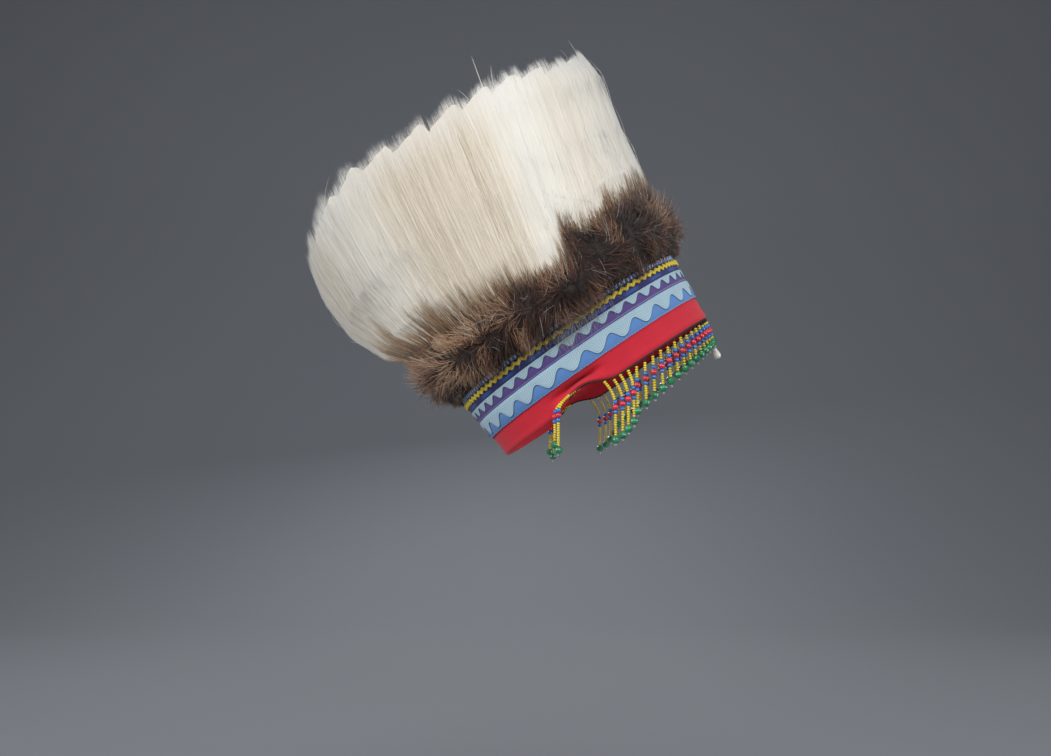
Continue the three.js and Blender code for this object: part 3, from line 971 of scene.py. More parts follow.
@dataclass
class HairCrest:
    """Tall ring of long white hair, in locks that come to uneven tips."""

    form: FurForm
    locks: int = 260
    sheaves: int = 30
    upright: float = 0.22
    thickness_mm: float = 0.62
    broken_share: float = 0.12
    inner_face_share: float = 0.55
    lock_spread: float = 0.8
    lock_lean: float = 0.03
    depth_spread: float = 0.02
    tone_spread: float = 0.09
    sway: float = 0.006
    outer_depth: float = 0.27
    inner_depth: float = 0.8
    tan_hairs: int = 2800
    flyaway_hairs: int = 110
    stray_angle: float = -1.3
    triangles_a_piece: int = 146000
    seed: int = 11

    def tip_share(self, angle: np.ndarray, patches: np.random.Generator) -> np.ndarray:
        """How far up the crest its hair reaches at each angle: sheaves that step up one by one."""
        sheaf = (angle / (2 * np.pi) * self.sheaves) % 1.0
        sheaf = np.where(angle % (2 * np.pi) < np.pi, 1 - sheaf, sheaf)
        patch_length = smooth_random(patches, 15, angle) - 0.5
        return 0.985 + 0.065 * (sheaf - 0.5) + 0.05 * patch_length

    def base(self, shop: Workshop) -> None:
        """Makes the mass of hair under the strands, a hollow wall with a rounded top."""
        rises = (0.02, 0.14, 0.3, 0.46, 0.62, 0.76, 0.88, 0.945)
        wide, tall = 10.0, 100.0
        section = [(self.outer_depth, rise) for rise in rises] + [(0.38, 0.967), (0.62, 0.967)]
        section += [(self.inner_depth, rise) for rise in reversed(rises)]
        bm = spun_ring([(depth * wide, rise * tall) for depth, rise in section], 300)
        lay_cloth_uv(bm, FUR_RADIUS)

        def place(angle: np.ndarray, out: np.ndarray, height: np.ndarray) -> np.ndarray:
            """Places the wall in the crest, with shallow furrows that run up the hair."""
            furrow = 0.03 * np.sin(angle * 73) + 0.02 * np.sin(angle * 131 + 1.0)
            depth = out / wide + furrow * np.where(out > wide / 2, -1, 1)
            rise = height / tall * self.tip_share(angle, np.random.default_rng(self.seed))
            return self.form.crest_point(angle - self.upright * np.sin(angle) * rise, depth, rise)

        fit(bm, self.form.head, place)
        pelt = PeltFinish("white_hair_mass", "#D6D0C5", "#C0B6A7", 1.6)
        shop.from_bmesh("white_hair_mass", bm, pelt.make(), ["white_hair_crest"])

    def strands(self, rng: np.random.Generator, kit: Strands, count: int, outer: bool) -> None:
        """Adds locks of strands.

        Args:
            rng: the source of chance.
            kit: collects the strands.
            count: how many strands.
            outer: whether they make the outer face, or the inside and the tips.
        """
        form = self.form
        patches = np.random.default_rng(self.seed)
        lock = rng.integers(0, self.locks, count)
        lock_angle = (np.arange(self.locks) + rng.uniform(-0.4, 0.4, self.locks)) * 2 * np.pi / self.locks
        spread = rng.uniform(0.0, 0.34, self.locks) if outer else rng.uniform(0.2, 1.0, self.locks)
        length = self.tip_share(lock_angle, patches) + rng.normal(0, 0.004, self.locks)
        lean = rng.normal(0, self.lock_lean, self.locks)
        tone = 0.1 + 0.75 * smooth_random(patches, 18, lock_angle) + 0.15 * rng.random(self.locks)
        across = rng.normal(0, self.lock_spread, count) * 2 * np.pi / self.locks
        inward = rng.normal(0, self.depth_spread, count)
        share = np.array([row[0] for row in form.crest_form])[None, :]
        full = length[lock] * (1.01 - 0.015 * np.abs(across) * self.locks / (2 * np.pi))
        broken = rng.random(count) < self.broken_share
        full *= np.where(broken, rng.uniform(0.6, 0.98, count), rng.uniform(0.988, 1.003, count))
        depth_top = 0.98 + 0.02 * np.sin(np.pi * np.clip(spread[lock] / 0.8, 0, 1))
        start = np.where(rng.random(count) < 0.3, rng.uniform(0.0, 0.25, count), 0.0)
        rise = start[:, None] + (full * depth_top - start)[:, None] * share
        sway = self.sway * np.sin(rng.uniform(0, 6.28, count)[:, None] + 3.5 * share) * share
        sway = sway + rng.normal(0, 0.012, count)[:, None] * share**1.5
        angle = lock_angle[lock][:, None] + across[:, None] * (1 - 0.5 * share**2)
        angle = angle + lean[lock][:, None] * share**1.5 + sway
        angle = angle - self.upright * np.sin(angle) * share
        free = rng.uniform(0.0, 0.1, count) if outer else rng.uniform(0.0, 0.3, count)
        depth = 0.12 * spread[lock][:, None] + free[:, None] + inward[:, None] * (1 - 0.4 * share) + 0.02
        if not outer:
            within = rng.uniform(0.3, 0.8, count)
            on_inner_face = rng.random(count) < self.inner_face_share
            layer = np.where(on_inner_face, rng.uniform(0.82, 0.97, count), within)
            depth = np.broadcast_to(layer[:, None], depth.shape)
        points = form.head.worn(form.crest_point(angle, depth, rise))
        facing = form.head.outward(lock_angle[lock] + across) * np.where(depth[:, 2:3] > 0.55, -1, 1)
        facing = unit(facing + rng.normal(0, 0.12, (count, 3)))
        thick = rng.uniform(0.6, 1.15, count) * self.thickness_mm * MM
        kit.add(points, thick, np.clip(tone[lock] + rng.normal(0, self.tone_spread, count), 0, 1), facing)

    def root_streaks(self, shop: Workshop, thinning: int) -> None:
        """Makes the brown and tan hairs that run up from the fur into the white, most at the back."""
        form = self.form
        rng = np.random.default_rng(self.seed + 7)
        kit = Strands(5)
        count = self.tan_hairs // thinning
        angle = rng.uniform(-np.pi, np.pi, count)
        behind = np.clip((azimuth(angle) - 105) / 45, 0, 1)
        bunch = patchy(rng, 90, 1, angle, np.zeros(count))
        reach = rng.uniform(0.05, 0.16, count) + behind * rng.uniform(0.0, 0.2, count)
        reach *= 0.55 + 0.9 * bunch
        share = np.linspace(0, 1, kit.stations)[None, :]
        rise = rng.uniform(-0.06, 0.0, count)[:, None] + reach[:, None] * share
        drift = rng.normal(0, 0.02, count)[:, None] * share
        depth = rng.uniform(-0.06, 0.02, count)[:, None] + 0.03 * share**2
        leaned = angle[:, None] + drift - self.upright * np.sin(angle)[:, None] * np.clip(rise, 0, 1)
        points = form.head.worn(form.crest_point(leaned, depth, rise))
        facing = form.head.outward(angle)
        tone = np.clip(0.35 + 0.3 * behind + rng.normal(0, 0.2, count), 0, 1)
        kit.add(points, rng.uniform(0.35, 0.6, count) * MM, tone, facing)
        finish = HairFinish(
            "tan_root_hair",
            tones=((0.0, "#4A3528"), (0.5, "#7A5B40"), (1.0, "#A5845F")),
            root="#33231B", root_reach=0.3, tip="#CDB99B", tip_from=0.35, tip_share=0.75,
        ).make()
        shop.piece("tan_root_hair", kit.mesh(), finish)

    def flyaways(self, shop: Workshop, material: bpy.types.Material) -> None:
        """Makes the few pale hairs that bow out from the crest and stand above its tips."""
        form = self.form
        rng = np.random.default_rng(self.seed + 9)
        kit = Strands(9)
        count = self.flyaway_hairs
        angle = rng.uniform(-np.pi, np.pi, count)
        above = rng.random(count) < 0.3
        share = np.linspace(0, 1, kit.stations)[None, :]
        start = np.where(above, rng.uniform(0.8, 0.95, count), rng.uniform(0.05, 0.6, count))
        reach = np.where(above, rng.uniform(0.05, 0.13, count), rng.uniform(0.15, 0.35, count))
        rise = start[:, None] + reach[:, None] * share
        bow = np.where(above, 0.03, rng.uniform(0.03, 0.09, count))[:, None] * np.sin(np.pi * share)
        drift = rng.normal(0, 0.07, count)[:, None] * share * (1 + share)
        depth = rng.uniform(0.0, 0.5, count) * above
        points = form.crest_point(angle[:, None] + drift, depth[:, None] - bow, rise)
        stray = form.crest_point(self.stray_angle + 0.08 * share, 0.3 + 0 * share, 0.9 + 0.27 * share)
        worn = form.head.worn(np.concatenate([points, stray]))
        facing = form.head.outward(np.append(angle, self.stray_angle))
        thick = np.append(rng.uniform(0.25, 0.4, count), 0.6) * MM
        kit.add(worn, thick, rng.random(count + 1) * 0.4, facing)
        shop.piece("white_flyaway_hair", kit.mesh(), material)

    def build(self, shop: Workshop, thinning: int) -> None:
        """Makes the crest: its mass, tan hairs at the root, flyaway hairs and three coats.

        White hair passes light on from strand to strand, so its strands throw no shadow on one
        another. The mass under them throws the crest's shadow.
        """
        self.base(shop)
        finish = HairFinish(
            "long_white_hair",
            tones=((0.0, "#D1D1CE"), (0.35, "#D4D0C7"), (0.65, "#D0C8BA"), (0.85, "#BFB4A4"),
                   (1.0, "#A59880")),
            root="#BDAE97", root_reach=0.08, tip="#D3D3D1", tip_from=0.7, tip_share=0.7,
        ).make()
        self.root_streaks(shop, thinning)
        self.flyaways(shop, finish)
        for name, outer, seed in (("white_hair_outer", True, 1), ("white_hair_middle", True, 2),
                                  ("white_hair_inner", False, 3)):
            rng = np.random.default_rng(self.seed + seed)
            kit = Strands(5, softness=0.85)
            count = self.triangles_a_piece // kit.triangles // thinning
            self.strands(rng, kit, count, outer)
            made = shop.piece(name, kit.mesh(), finish)
            made.visible_shadow = False


@dataclass
class FurRoll:
    """Roll of short brown fur that laps over the top of the band."""

    form: FurForm
    hair_mm: tuple[float, float] = (12.0, 19.0)
    thickness_mm: float = 0.42
    silver_mm: tuple[float, float] = (16.0, 26.0)
    silver_thickness_mm: float = 0.3
    root_depth: float = 6.5
    curl: float = 0.42
    tuft_rise: float = 2.4
    tuft_sweep: float = 3.0
    silver_hairs: int = 520
    hanging_hairs: int = 260
    triangles_a_piece: int = 146000
    seed: int = 5

    def base(self, shop: Workshop) -> None:
        """Makes the mass of fur under the hairs, lumpy where tufts part."""
        shares = (0.02, 0.12, 0.24, 0.36, 0.48, 0.6, 0.72, 0.84, 0.96)
        section = [(share * 100, 1.0) for share in shares] + [(96.0, 0.0), (2.0, 0.0)]
        bm = spun_ring(section, 320)
        lay_cloth_uv(bm, FUR_RADIUS)
        head, form = self.form.head, self.form

        def place(angle: np.ndarray, share: np.ndarray, layer: np.ndarray) -> np.ndarray:
            """Places the skin of the roll, and its straight inner wall against the band."""
            lumps = np.sin(angle * 41 + share * 0.09) + np.sin(angle * 67 - share * 0.13)
            lumps = lumps + np.sin(angle * 19)
            skin = form.roll_point(angle, share / 100, 6.0 + 0.9 * lumps)
            back = head.oval(angle, head.flare - 2.0 + 5.2 * (share < 50),
                             np.where(share < 50, head.band_height - 4.0,
                                      form.line(angle) - form.step_down))
            return np.where((layer > 0.5)[:, None], skin, back)

        fit(bm, head, place)
        pelt = PeltFinish("brown_fur_mass", "#3B2A22", "#15100F", 2.5)
        shop.from_bmesh("brown_fur_mass", bm, pelt.make(), ["brown_fur_roll"])

    def strands(self, rng: np.random.Generator, kit: Strands, count: int, length_mm: tuple[float, float],
                thickness_mm: float, wild: float, tone: np.ndarray) -> None:
        """Adds hairs rooted over the roll.

        Args:
            rng: the source of chance.
            kit: collects the strands.
            count: how many hairs.
            length_mm: their shortest and longest length.
            thickness_mm: their thickness at the root.
            wild: how far they stray from the lie of the fur.
            tone: each hair's tone, 0 to 1.
        """
        head, form = self.form.head, self.form
        angle = rng.uniform(-np.pi, np.pi, count)
        share = rng.uniform(0.02, 1.0, count) ** 0.85
        root = form.roll_point(angle, share, self.root_depth)
        outside = form.roll_point(angle, share, 0.0)
        normal = unit(outside - root)
        up = unit(form.roll_point(angle, np.clip(share + 0.03, 0, 1.03), 0.0) - outside)
        rising = np.interp(share, (0.0, 0.3, 0.5, 0.75, 1.0), (-1.3, -0.7, 0.0, 0.8, 1.6))
        rising = rising + np.where(share < 0.4, 0.8 * np.cos(angle) ** 2, 0.0)
        sweep = unit(head.oval(angle + 0.02 * np.sign(angle), 0.0, 0.0) - head.oval(angle, 0.0, 0.0))
        patches = np.random.default_rng(self.seed)
        tuft = patchy(patches, 64, 5, angle, share) - 0.5
        tuft_up = patchy(patches, 58, 5, angle, share) - 0.5
        shade = patchy(patches, 46, 4, angle, share) - 0.5
        behind = np.clip((azimuth(angle) - 100) / 50, 0, 1)
        near_hair = np.clip(share - 0.7, 0, 1) / 0.3
        tone = np.clip(tone + shade + 0.42 * behind - 0.04 + 0.16 * near_hair, 0, 1)
        lie = (normal * (0.75 + 0.5 * rng.random(count))[:, None]
               + up * (rising + self.tuft_rise * tuft_up)[:, None]
               + sweep * (0.3 * np.abs(np.sin(angle)) + self.tuft_sweep * tuft)[:, None]
               + rng.normal(0, wild, (count, 3)))
        lie = unit(lie)
        curl = up * np.sign(rising)[:, None] + 0.5 * sweep - 0.8 * normal
        curl = unit(curl + rng.normal(0, 0.5, (count, 3)))
        long = rng.uniform(*length_mm, count)
        hang = 0.16 + 0.5 * np.sin(angle) ** 2
        long *= np.interp(share, (0.0, 0.12, 0.3, 0.8, 1.0), (1.0, 0.75, 0.9, 1.0, 1.15))
        long *= np.where(share < 0.12, hang, 1.0)
        long *= np.where(share < 0.36, 0.5 + 0.5 * np.sin(angle) ** 2, 1.0)
        along = np.linspace(0, 1, kit.stations)[None, :, None]
        bend = lie[:, None] * along + curl[:, None] * self.curl * along**2
        path = root[:, None] + long[:, None, None] * bend
        facing = unit(normal + rng.normal(0, 0.3, (count, 3)))
        thick = rng.uniform(0.6, 1.2, count) * thickness_mm * MM
        kit.add(head.worn(path), thick, tone, head.worn(facing) / MM)

    def build(self, shop: Workshop, thinning: int) -> None:
        """Makes the roll: its mass, undercoat, guard hairs, and hairs that hang over the band."""
        self.base(shop)
        coat = HairFinish(
            "brown_fur",
            tones=((0.0, "#191415"), (0.3, "#2E1B16"), (0.52, "#502C22"), (0.75, "#7E5A46"),
                   (1.0, "#B39476")),
            root="#170F0F", root_reach=0.35, tip="#8A664A", tip_from=0.55, tip_share=0.35, roughness=0.6,
        ).make()
        for name, seed, light in (("brown_undercoat", 1, 0.0), ("brown_guard_hair", 2, 0.14)):
            rng = np.random.default_rng(self.seed + seed)
            kit = Strands(4)
            count = self.triangles_a_piece // kit.triangles // thinning
            tone = np.clip(rng.normal(0.36 + light, 0.17, count), 0, 1)
            self.strands(rng, kit, count, self.hair_mm, self.thickness_mm, 0.16 + light, tone)
            shop.piece(name, kit.mesh(), coat)
        silver = HairFinish(
            "silver_guard_hair",
            tones=((0.0, "#5E5A57"), (0.5, "#8C8C8B"), (1.0, "#C4C4C0")),
            root="#3A3230", root_reach=0.2, tip="#C2C2BE", tip_from=0.6, tip_share=0.5, roughness=0.4,
        ).make()
        rng = np.random.default_rng(self.seed + 3)
        kit = Strands(4)
        count = self.silver_hairs
        thick = self.silver_thickness_mm
        self.strands(rng, kit, count, self.silver_mm, thick, 0.7, rng.random(count))
        self.loose_hairs(rng, kit)
        shop.piece("silver_guard_hair", kit.mesh(), silver)

    def loose_hairs(self, rng: np.random.Generator, kit: Strands) -> None:
        """Adds the fine pale hairs that hang over the ribbons at each side."""
        head, form = self.form.head, self.form
        count = self.hanging_hairs
        side = np.where(rng.random(count) < 0.5, -1.0, 1.0)
        angle = side * np.radians(rng.normal(92, 9, count))
        share = np.linspace(0, 1, kit.stations)[None, :]
        fall = rng.uniform(8.0, 24.0, count)[:, None] * share**0.9
        drift = (rng.normal(0, 0.05, count)[:, None] + side[:, None] * 0.03) * share**1.4
        out = 4.2 + rng.uniform(0.0, 2.5, count)[:, None] * np.sin(np.pi * share)
        paths = head.band(angle[:, None] + drift, out, form.lip(angle)[:, None] + 1.0 - fall)
        facing = head.worn(head.oval(angle, 0.0, 0.0))
        kit.add(head.worn(paths), rng.uniform(0.2, 0.34, count) * MM, rng.random(count) * 0.5, facing)


class Bead(Enum):
    """The kinds of bead on a strand: name, width and height in millimetres."""

    SEED = ("yellow_seed_beads", 2.6, 1.8)
    BLUE = ("blue_beads", 3.5, 3.1)
    RED = ("red_beads", 5.0, 4.3)
    GREEN = ("green_faceted_beads", 6.5, 5.8)
    STOP = ("clear_stop_beads", 2.4, 2.0)


@dataclass
class BeadFringe:
    """Strands of glass beads on black thread, from side to side across the front."""

    head: HeadShape
    each_side: int = 21
    front_length: float = 21.0
    ear_length: float = 46.0
    last_plain: float = 79.0
    heading: float = 1.1
    lean: float = 0.33
    bend_share: float = 0.4
    bare_thread: float = 2.6
    thread_mm: float = 0.9
    pushed_bare_thread: float = 0.6
    longest_plain: float = 0.86
    red_share: float = 0.42
    heading_reach: float = math.radians(112.5)
    seed: int = 3
    # Strands pushed aside at each side lift: degrees from the front, push as a share of
    # ear_reach, and length as a share of ear_length.
    ear_strands = ((109, -0.5, 0.92), (105, -0.58, 1.1), (95.5, 0.3, 1.04), (91.5, 0.24, 1.0),
                   (88, 0.2, 0.96), (84, 0.15, 0.92))
    places: dict = field(default_factory=lambda: {kind: [] for kind in Bead})
    threads: list = field(default_factory=list)

    def strand_list(self) -> list[tuple[float, float, float]]:
        """Each strand's angle, push and length, both sides of the middle one."""
        found = [(0.0, 0.0, self.front_length)]
        plain = self.each_side - sum(1 for row in self.ear_strands if row[1] > 0)
        longest = self.ear_length * self.longest_plain
        for side in (1, -1):
            for i in range(1, plain + 1):
                share = i / plain
                length = self.front_length + (longest - self.front_length) * share**1.6
                found.append((side * math.radians(self.last_plain * share), 0.0, length))
            for degrees, push, length in self.ear_strands:
                angle, reach = side * math.radians(degrees), push * self.head.ear_reach
                found.append((angle, reach, length * self.ear_length))
        return found

    def point(self, strand: tuple[float, float, float], distance: float) -> np.ndarray:
        """Upright point on a strand, a distance below its start."""
        angle, push, length = strand
        height = -self.heading / 2 + self.head.ear_lift * float(self.head.ear_share(np.array(angle)))
        start = self.head.oval(np.array(angle), np.array(-1.1), np.array(height))
        still_turning = 1 - min(1.0, distance / (length * self.bend_share))
        pushed = push * (1 - still_turning**2)
        forward = self.lean * max(0.0, math.cos(angle)) ** 2 * distance
        return start + self.head.down * distance + self.head.level * (pushed + forward)

    def thread_beads(self, strand: tuple[float, float, float], rng: np.random.Generator) -> None:
        """Works out which bead sits where on one strand.

        From the top: bare thread, yellow seeds, blue, red, blue, yellow seeds, green, stop.
        """
        push, length = strand[1:]
        red = length * self.red_share
        green = length - Bead.GREEN.value[1] / 2
        blue_away = (Bead.RED.value[2] + Bead.BLUE.value[2]) / 2
        self.put(strand, Bead.RED, red, rng)
        self.put(strand, Bead.BLUE, red - blue_away, rng)
        self.put(strand, Bead.BLUE, red + blue_away, rng)
        self.put(strand, Bead.GREEN, green, rng)
        self.put(strand, Bead.STOP, green + (Bead.GREEN.value[2] + Bead.STOP.value[2]) / 2, rng)
        seed_step = Bead.SEED.value[2]
        upper_end = red - blue_away - Bead.BLUE.value[2] / 2
        lower_start = red + blue_away + Bead.BLUE.value[2] / 2
        lower_end = green - Bead.GREEN.value[2] / 2
        at = upper_end - seed_step / 2 / self.stretch(strand, upper_end)
        while at > (self.pushed_bare_thread if push else self.bare_thread):
            self.put(strand, Bead.SEED, at, rng)
            at -= seed_step / self.stretch(strand, at)
        lower = max(0, round((lower_end - lower_start) / seed_step))
        for i in range(lower):
            self.put(strand, Bead.SEED, lower_start + (i + 0.5) * (lower_end - lower_start) / lower, rng)
        self.threads.append([self.point(strand, length * i / 8) for i in range(9)])

    def stretch(self, strand: tuple[float, float, float], distance: float) -> float:
        """Millimetres of thread for each millimetre of distance, at one place on a strand."""
        step = 0.2
        run = self.point(strand, distance + step) - self.point(strand, distance)
        return float(np.linalg.norm(run)) / step

    def put(self, strand: tuple[float, float, float], kind: Bead, distance: float,
            rng: np.random.Generator) -> None:
        """Puts one bead on a strand, turned along the thread with a little play."""
        at = self.point(strand, distance)
        run = self.point(strand, distance + 0.5) - self.point(strand, max(0.0, distance - 0.5))
        direction = Vector(self.head.worn(run)).normalized()
        turn = direction.to_track_quat("Z", "Y").to_matrix().to_4x4()
        play = Matrix.Rotation(rng.uniform(0, math.pi), 4, "Z")
        play = play @ Matrix.Rotation(rng.normal(0, 0.06), 4, "X")
        self.places[kind].append(Matrix.Translation(Vector(self.head.worn(at))) @ turn @ play)

    @staticmethod
    def shape(kind: Bead) -> bmesh.types.BMesh:
        """Models one bead of a kind, with its hole along Z."""
        width, tall = kind.value[1] * MM, kind.value[2] * MM
        bm = bmesh.new()
        if kind is Bead.GREEN:
            bmesh.ops.create_icosphere(bm, subdivisions=2, radius=0.5)
            for plane in (0.43, -0.43):
                normal = (0, 0, math.copysign(1, plane))
                cut = bmesh.ops.bisect_plane(bm, geom=bm.verts[:] + bm.edges[:] + bm.faces[:],
                                             plane_co=(0, 0, plane), plane_no=normal, clear_outer=True)
                rim = [edge for edge in cut["geom_cut"] if isinstance(edge, bmesh.types.BMEdge)]
                bmesh.ops.contextual_create(bm, geom=rim)
        else:
            sides, rings = (8, 6) if kind in (Bead.SEED, Bead.STOP) else (14, 9)
            bmesh.ops.create_uvsphere(bm, u_segments=sides, v_segments=rings, radius=0.5)
            for vert in bm.verts:
                flat = abs(vert.co.z) * 2
                vert.co.z = math.copysign(min(abs(vert.co.z), 0.46 + 0.04 * flat), vert.co.z)
        bmesh.ops.scale(bm, vec=(width, width, tall * 1.04), verts=bm.verts)
        bmesh.ops.recalc_face_normals(bm, faces=bm.faces)
        return bm

    def build(self, shop: Workshop) -> None:
        """Makes every bead, the thread of each strand and the heading."""
        rng = np.random.default_rng(self.seed)
        for strand in self.strand_list():
            self.thread_beads(strand, rng)
        finishes = {
            Bead.SEED: BeadFinish("yellow_seed_glass", "#E6D02E", "#CDAE1E", 0.2),
            Bead.BLUE: BeadFinish("blue_glass", "#2079CC", "#1A5FA8", 0.12),
            Bead.RED: BeadFinish("red_glass", "#DA2A3E", "#B81D30", 0.12),
            Bead.GREEN: BeadFinish("green_cut_glass", "#2F9A66", "#1D6E48", 0.08, glow=0.25),
            Bead.STOP: BeadFinish("clear_grey_glass", "#B9BDBE", "#8C9092", 0.1, glow=0.4),
        }
        for kind in Bead:
            one = self.shape(kind)
            template = bpy.data.meshes.new(kind.value[0] + "_one")
            one.to_mesh(template)
            one.free()
            joined = bmesh.new()
            for matrix in self.places[kind]:
                before = len(joined.verts)
                joined.from_mesh(template)
                joined.verts.ensure_lookup_table()
                bmesh.ops.transform(joined, matrix=matrix, verts=joined.verts[before:])
            node = ["bead_fringe"] if kind is Bead.RED else []
            shop.from_bmesh(kind.value[0], joined, finishes[kind].make(), node,
                            smooth=kind is not Bead.GREEN)
        self.build_threads(shop, rng)

    def build_threads(self, shop: Workshop, rng: np.random.Generator) -> None:
        """Makes the black thread through each strand and the wound heading under the rim."""
        black = ThreadFinish().make()
        kit = Strands(9, sides=6, softness=0.0)
        paths = self.head.worn(np.array(self.threads))
        facing = np.tile(np.array([0.0, 0.0, 1.0]), (len(paths), 1)) + rng.normal(0, 0.2, (len(paths), 3))
        kit.add(paths, np.full(len(paths), self.thread_mm * MM), np.zeros(len(paths)), facing)
        shop.piece("black_strand_thread", kit.mesh(), black)
        self.build_heading(shop, black)

    def build_heading(self, shop: Workshop, material: bpy.types.Material) -> None:
        """Makes the heading: a cord under the rim, wound with thread all along."""
        radius = self.heading / 2
        bm = bmesh.new()
        upright = Matrix.Rotation(math.pi / 2, 4, "X")
        bmesh.ops.create_circle(bm, segments=10, radius=radius, matrix=upright)
        bmesh.ops.translate(bm, verts=bm.verts, vec=(ROUND_RADIUS, 0, 0))
        to_start = Matrix.Rotation(-self.heading_reach, 3, "Z")
        bmesh.ops.rotate(bm, verts=bm.verts, cent=(0, 0, 0), matrix=to_start)
        ends = bmesh.ops.contextual_create(bm, geom=bm.edges[:])["faces"]
        bmesh.ops.spin(bm, geom=ends, cent=(0, 0, 0), axis=(0, 0, 1), angle=2 * self.heading_reach,
                       steps=640)
        bmesh.ops.recalc_face_normals(bm, faces=bm.faces)
        lay_cloth_uv(bm, BAND_RADIUS)

        def place(angle: np.ndarray, out: np.ndarray, height: np.ndarray) -> np.ndarray:
            """Winds the cord and hangs it under the lifted rim."""
            turn = np.arctan2(height, out)
            winding = 1 + 0.1 * np.sin(angle * 300 + turn)
            return self.head.cloth(angle, out * winding - 1.1, height * winding - radius + 0.05)

        fit(bm, self.head, place)
        shop.from_bmesh("black_heading_thread", bm, material)


@dataclass
class ForeheadDrop:
    """Smooth white drop under the middle strand of the fringe."""

    fringe: BeadFringe
    length: float = 11.0
    width: float = 7.0

    def build(self, shop: Workshop) -> None:
        """Spins the drop's outline and hangs it on the middle strand's line."""
        middle = (0.0, 0.0, self.fringe.front_length)
        head = self.fringe.head
        top = Vector(head.worn(self.fringe.point(middle, self.fringe.front_length + 0.7)))
        below = Vector(head.worn(self.fringe.point(middle, self.fringe.front_length + self.length)))
        outline = ((0.0, 0.0), (0.14, 0.012), (0.2, 0.08), (0.24, 0.2), (0.33, 0.38), (0.44, 0.55),
                   (0.5, 0.7), (0.47, 0.85), (0.33, 0.955), (0.15, 0.995), (0.0, 1.0))
        wide, tall = self.width * MM, self.length * MM
        bm = spun([(share * wide, drop * tall) for share, drop in outline], 32, False, 1e-6)
        turn = (below - top).to_track_quat("Z", "Y").to_matrix().to_4x4()
        bmesh.ops.transform(bm, matrix=Matrix.Translation(top) @ turn, verts=bm.verts)
        shop.from_bmesh("bone_drop", bm, BoneFinish().make(), ["forehead_drop"])


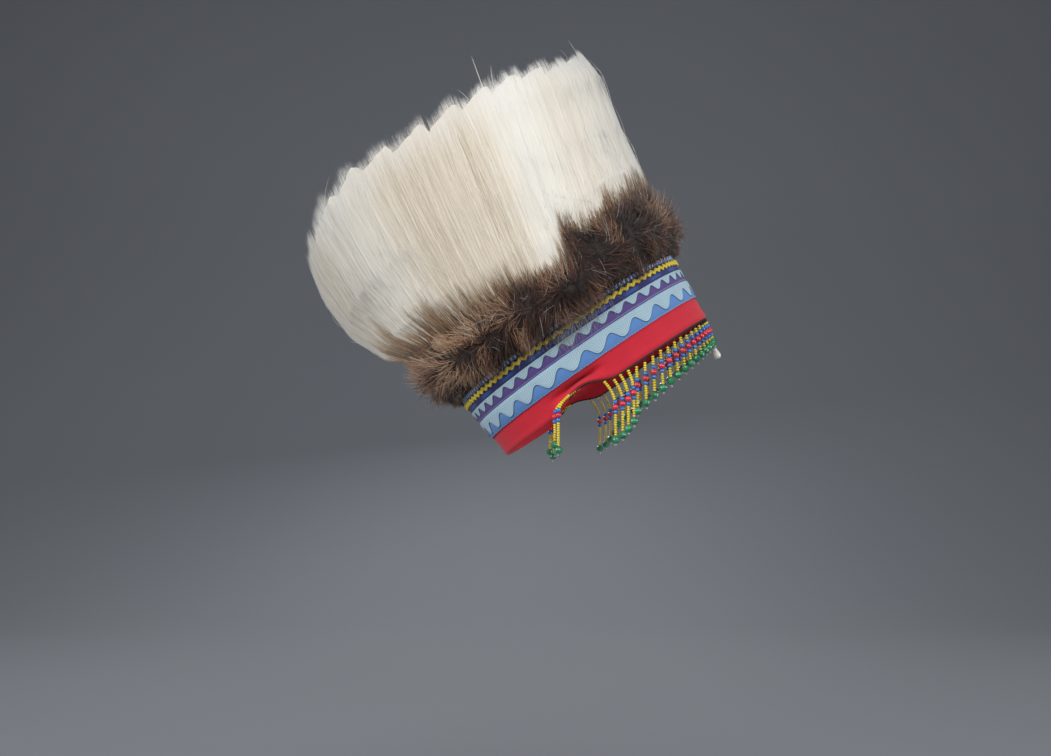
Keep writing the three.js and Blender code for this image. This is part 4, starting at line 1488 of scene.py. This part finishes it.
@dataclass
class Studio:
    """Plain grey floor and wall, soft lights and the camera."""

    mm_a_pixel: float = 0.83
    rim_pixel: tuple[float, float] = (607.0, 387.0)
    image: tuple[int, int] = (1051, 756)
    distance: float = 0.8
    look_up: float = math.radians(6.5)
    floor_z: float = -0.34
    lit_height: float = 0.05

    def build(self) -> None:
        """Makes the floor, the lights and the camera, and shows colours as they are."""
        bpy.context.scene.view_settings.view_transform = "Standard"
        self.floor()
        self.lights()
        self.camera()

    def floor(self) -> None:
        """Makes a floor that curves up into a wall behind the object."""
        bm = bmesh.new()
        bend = [math.radians(step * 7.5) for step in range(13)]
        curve = [(1.0 + math.sin(turn), 1.0 - math.cos(turn)) for turn in bend]
        line = [(-4.0, 0.0)] + curve + [(2.0, 4.0)]
        verts = [bm.verts.new((-5.0, y, self.floor_z + z)) for y, z in line]
        edges = [bm.edges.new(pair) for pair in zip(verts, verts[1:])]
        swept = bmesh.ops.extrude_edge_only(bm, edges=edges)["geom"]
        moved = [item for item in swept if isinstance(item, bmesh.types.BMVert)]
        bmesh.ops.translate(bm, verts=moved, vec=(10.0, 0, 0))
        mesh = bpy.data.meshes.new("pale_floor")
        bm.to_mesh(mesh)
        bm.free()
        mesh.shade_smooth()
        paint = Shading("pale_floor")
        place = paint.node("ShaderNodeTexCoord").outputs["Object"]
        cloud = paint.node("ShaderNodeTexNoise", {"Vector": place, "Scale": 1.5})
        colour = paint.feed(MIX, {0: cloud.outputs[0], 6: "#6C6F74", 7: "#676A70"}, 2, data_type="RGBA")
        paint.set(Base_Color=colour, Roughness=0.9)
        mesh.materials.append(paint.material)
        made = bpy.data.objects.new("pale_floor", mesh)
        bpy.context.scene.collection.objects.link(made)
        world = bpy.context.scene.world or bpy.data.worlds.new("studio")
        bpy.context.scene.world = world
        world.use_nodes = True
        background = world.node_tree.nodes.get("Background")
        background.inputs["Color"].default_value = linear("#C2C5C9")
        background.inputs["Strength"].default_value = 0.55

    def lights(self) -> None:
        """Hangs soft area lights round the object."""
        rows = (
            ("key", (0.2, -1.5, 0.75), 1.1, 12.5),
            ("fill", (-1.4, -1.0, 0.4), 1.2, 22.5),
            ("top", (-0.2, -0.1, 1.6), 1.0, 8.0),
            ("front", (1.6, -0.5, 0.3), 1.0, 12.5),
            ("back", (-0.2, 1.4, 0.8), 0.9, 12.0),
        )
        for name, place, size, watts in rows:
            lamp = bpy.data.lights.new(name, "AREA")
            lamp.energy = watts
            lamp.size = size
            made = bpy.data.objects.new(name, lamp)
            made.location = place
            made.rotation_euler = self.turned(Vector((0, 0, self.lit_height)) - made.location)
            bpy.context.scene.collection.objects.link(made)

    @staticmethod
    def turned(sight: Vector) -> Euler:
        """The turn that makes a light or a camera look along a direction."""
        return sight.to_track_quat("-Z", "Y").to_euler()

    def camera(self) -> None:
        """Places the camera where the photograph was taken from."""
        wide, tall = self.image
        middle_x = (wide / 2 - self.rim_pixel[0]) * self.mm_a_pixel * MM
        middle_z = (self.rim_pixel[1] - tall / 2) * self.mm_a_pixel * MM
        target = Vector((middle_x, 0.0, middle_z))
        away = Vector((0.0, -math.cos(self.look_up), -math.sin(self.look_up))) * self.distance
        data = bpy.data.cameras.new("photo_camera")
        data.sensor_width = 36.0
        data.lens = 36.0 * self.distance / (wide * self.mm_a_pixel * MM)
        made = bpy.data.objects.new("photo_camera", data)
        made.location = target + away
        made.rotation_euler = self.turned(-away)
        bpy.context.scene.collection.objects.link(made)
        bpy.context.scene.camera = made


def main() -> None:
    """Builds the headdress and its studio, and reports each piece."""
    logging.basicConfig(level=logging.INFO, format="%(message)s")
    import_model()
    shop = Workshop()
    thinning = 1
    head = HeadShape()
    form = FurForm(head)
    Studio().build()
    Headband(head).build(shop)
    WaveBraid(head, "large_wave_braid", top=34.0, trough=20.6, crest=28.6, waves=28,
              slot=Slot.BLUE_RIBBON).build(shop)
    WaveBraid(head, "small_wave_braid", top=44.3, trough=37.2, crest=42.4, waves=44,
              slot=Slot.PURPLE_RIBBON).build(shop)
    RickRack(head).build(shop)
    FurRoll(form).build(shop, thinning)
    HairCrest(form).build(shop, thinning)
    fringe = BeadFringe(head)
    fringe.build(shop)
    ForeheadDrop(fringe).build(shop)
    log.info("%d pieces, %d triangles in all", len(shop.pieces), shop.triangles)


if __name__ == "__main__":
    main()
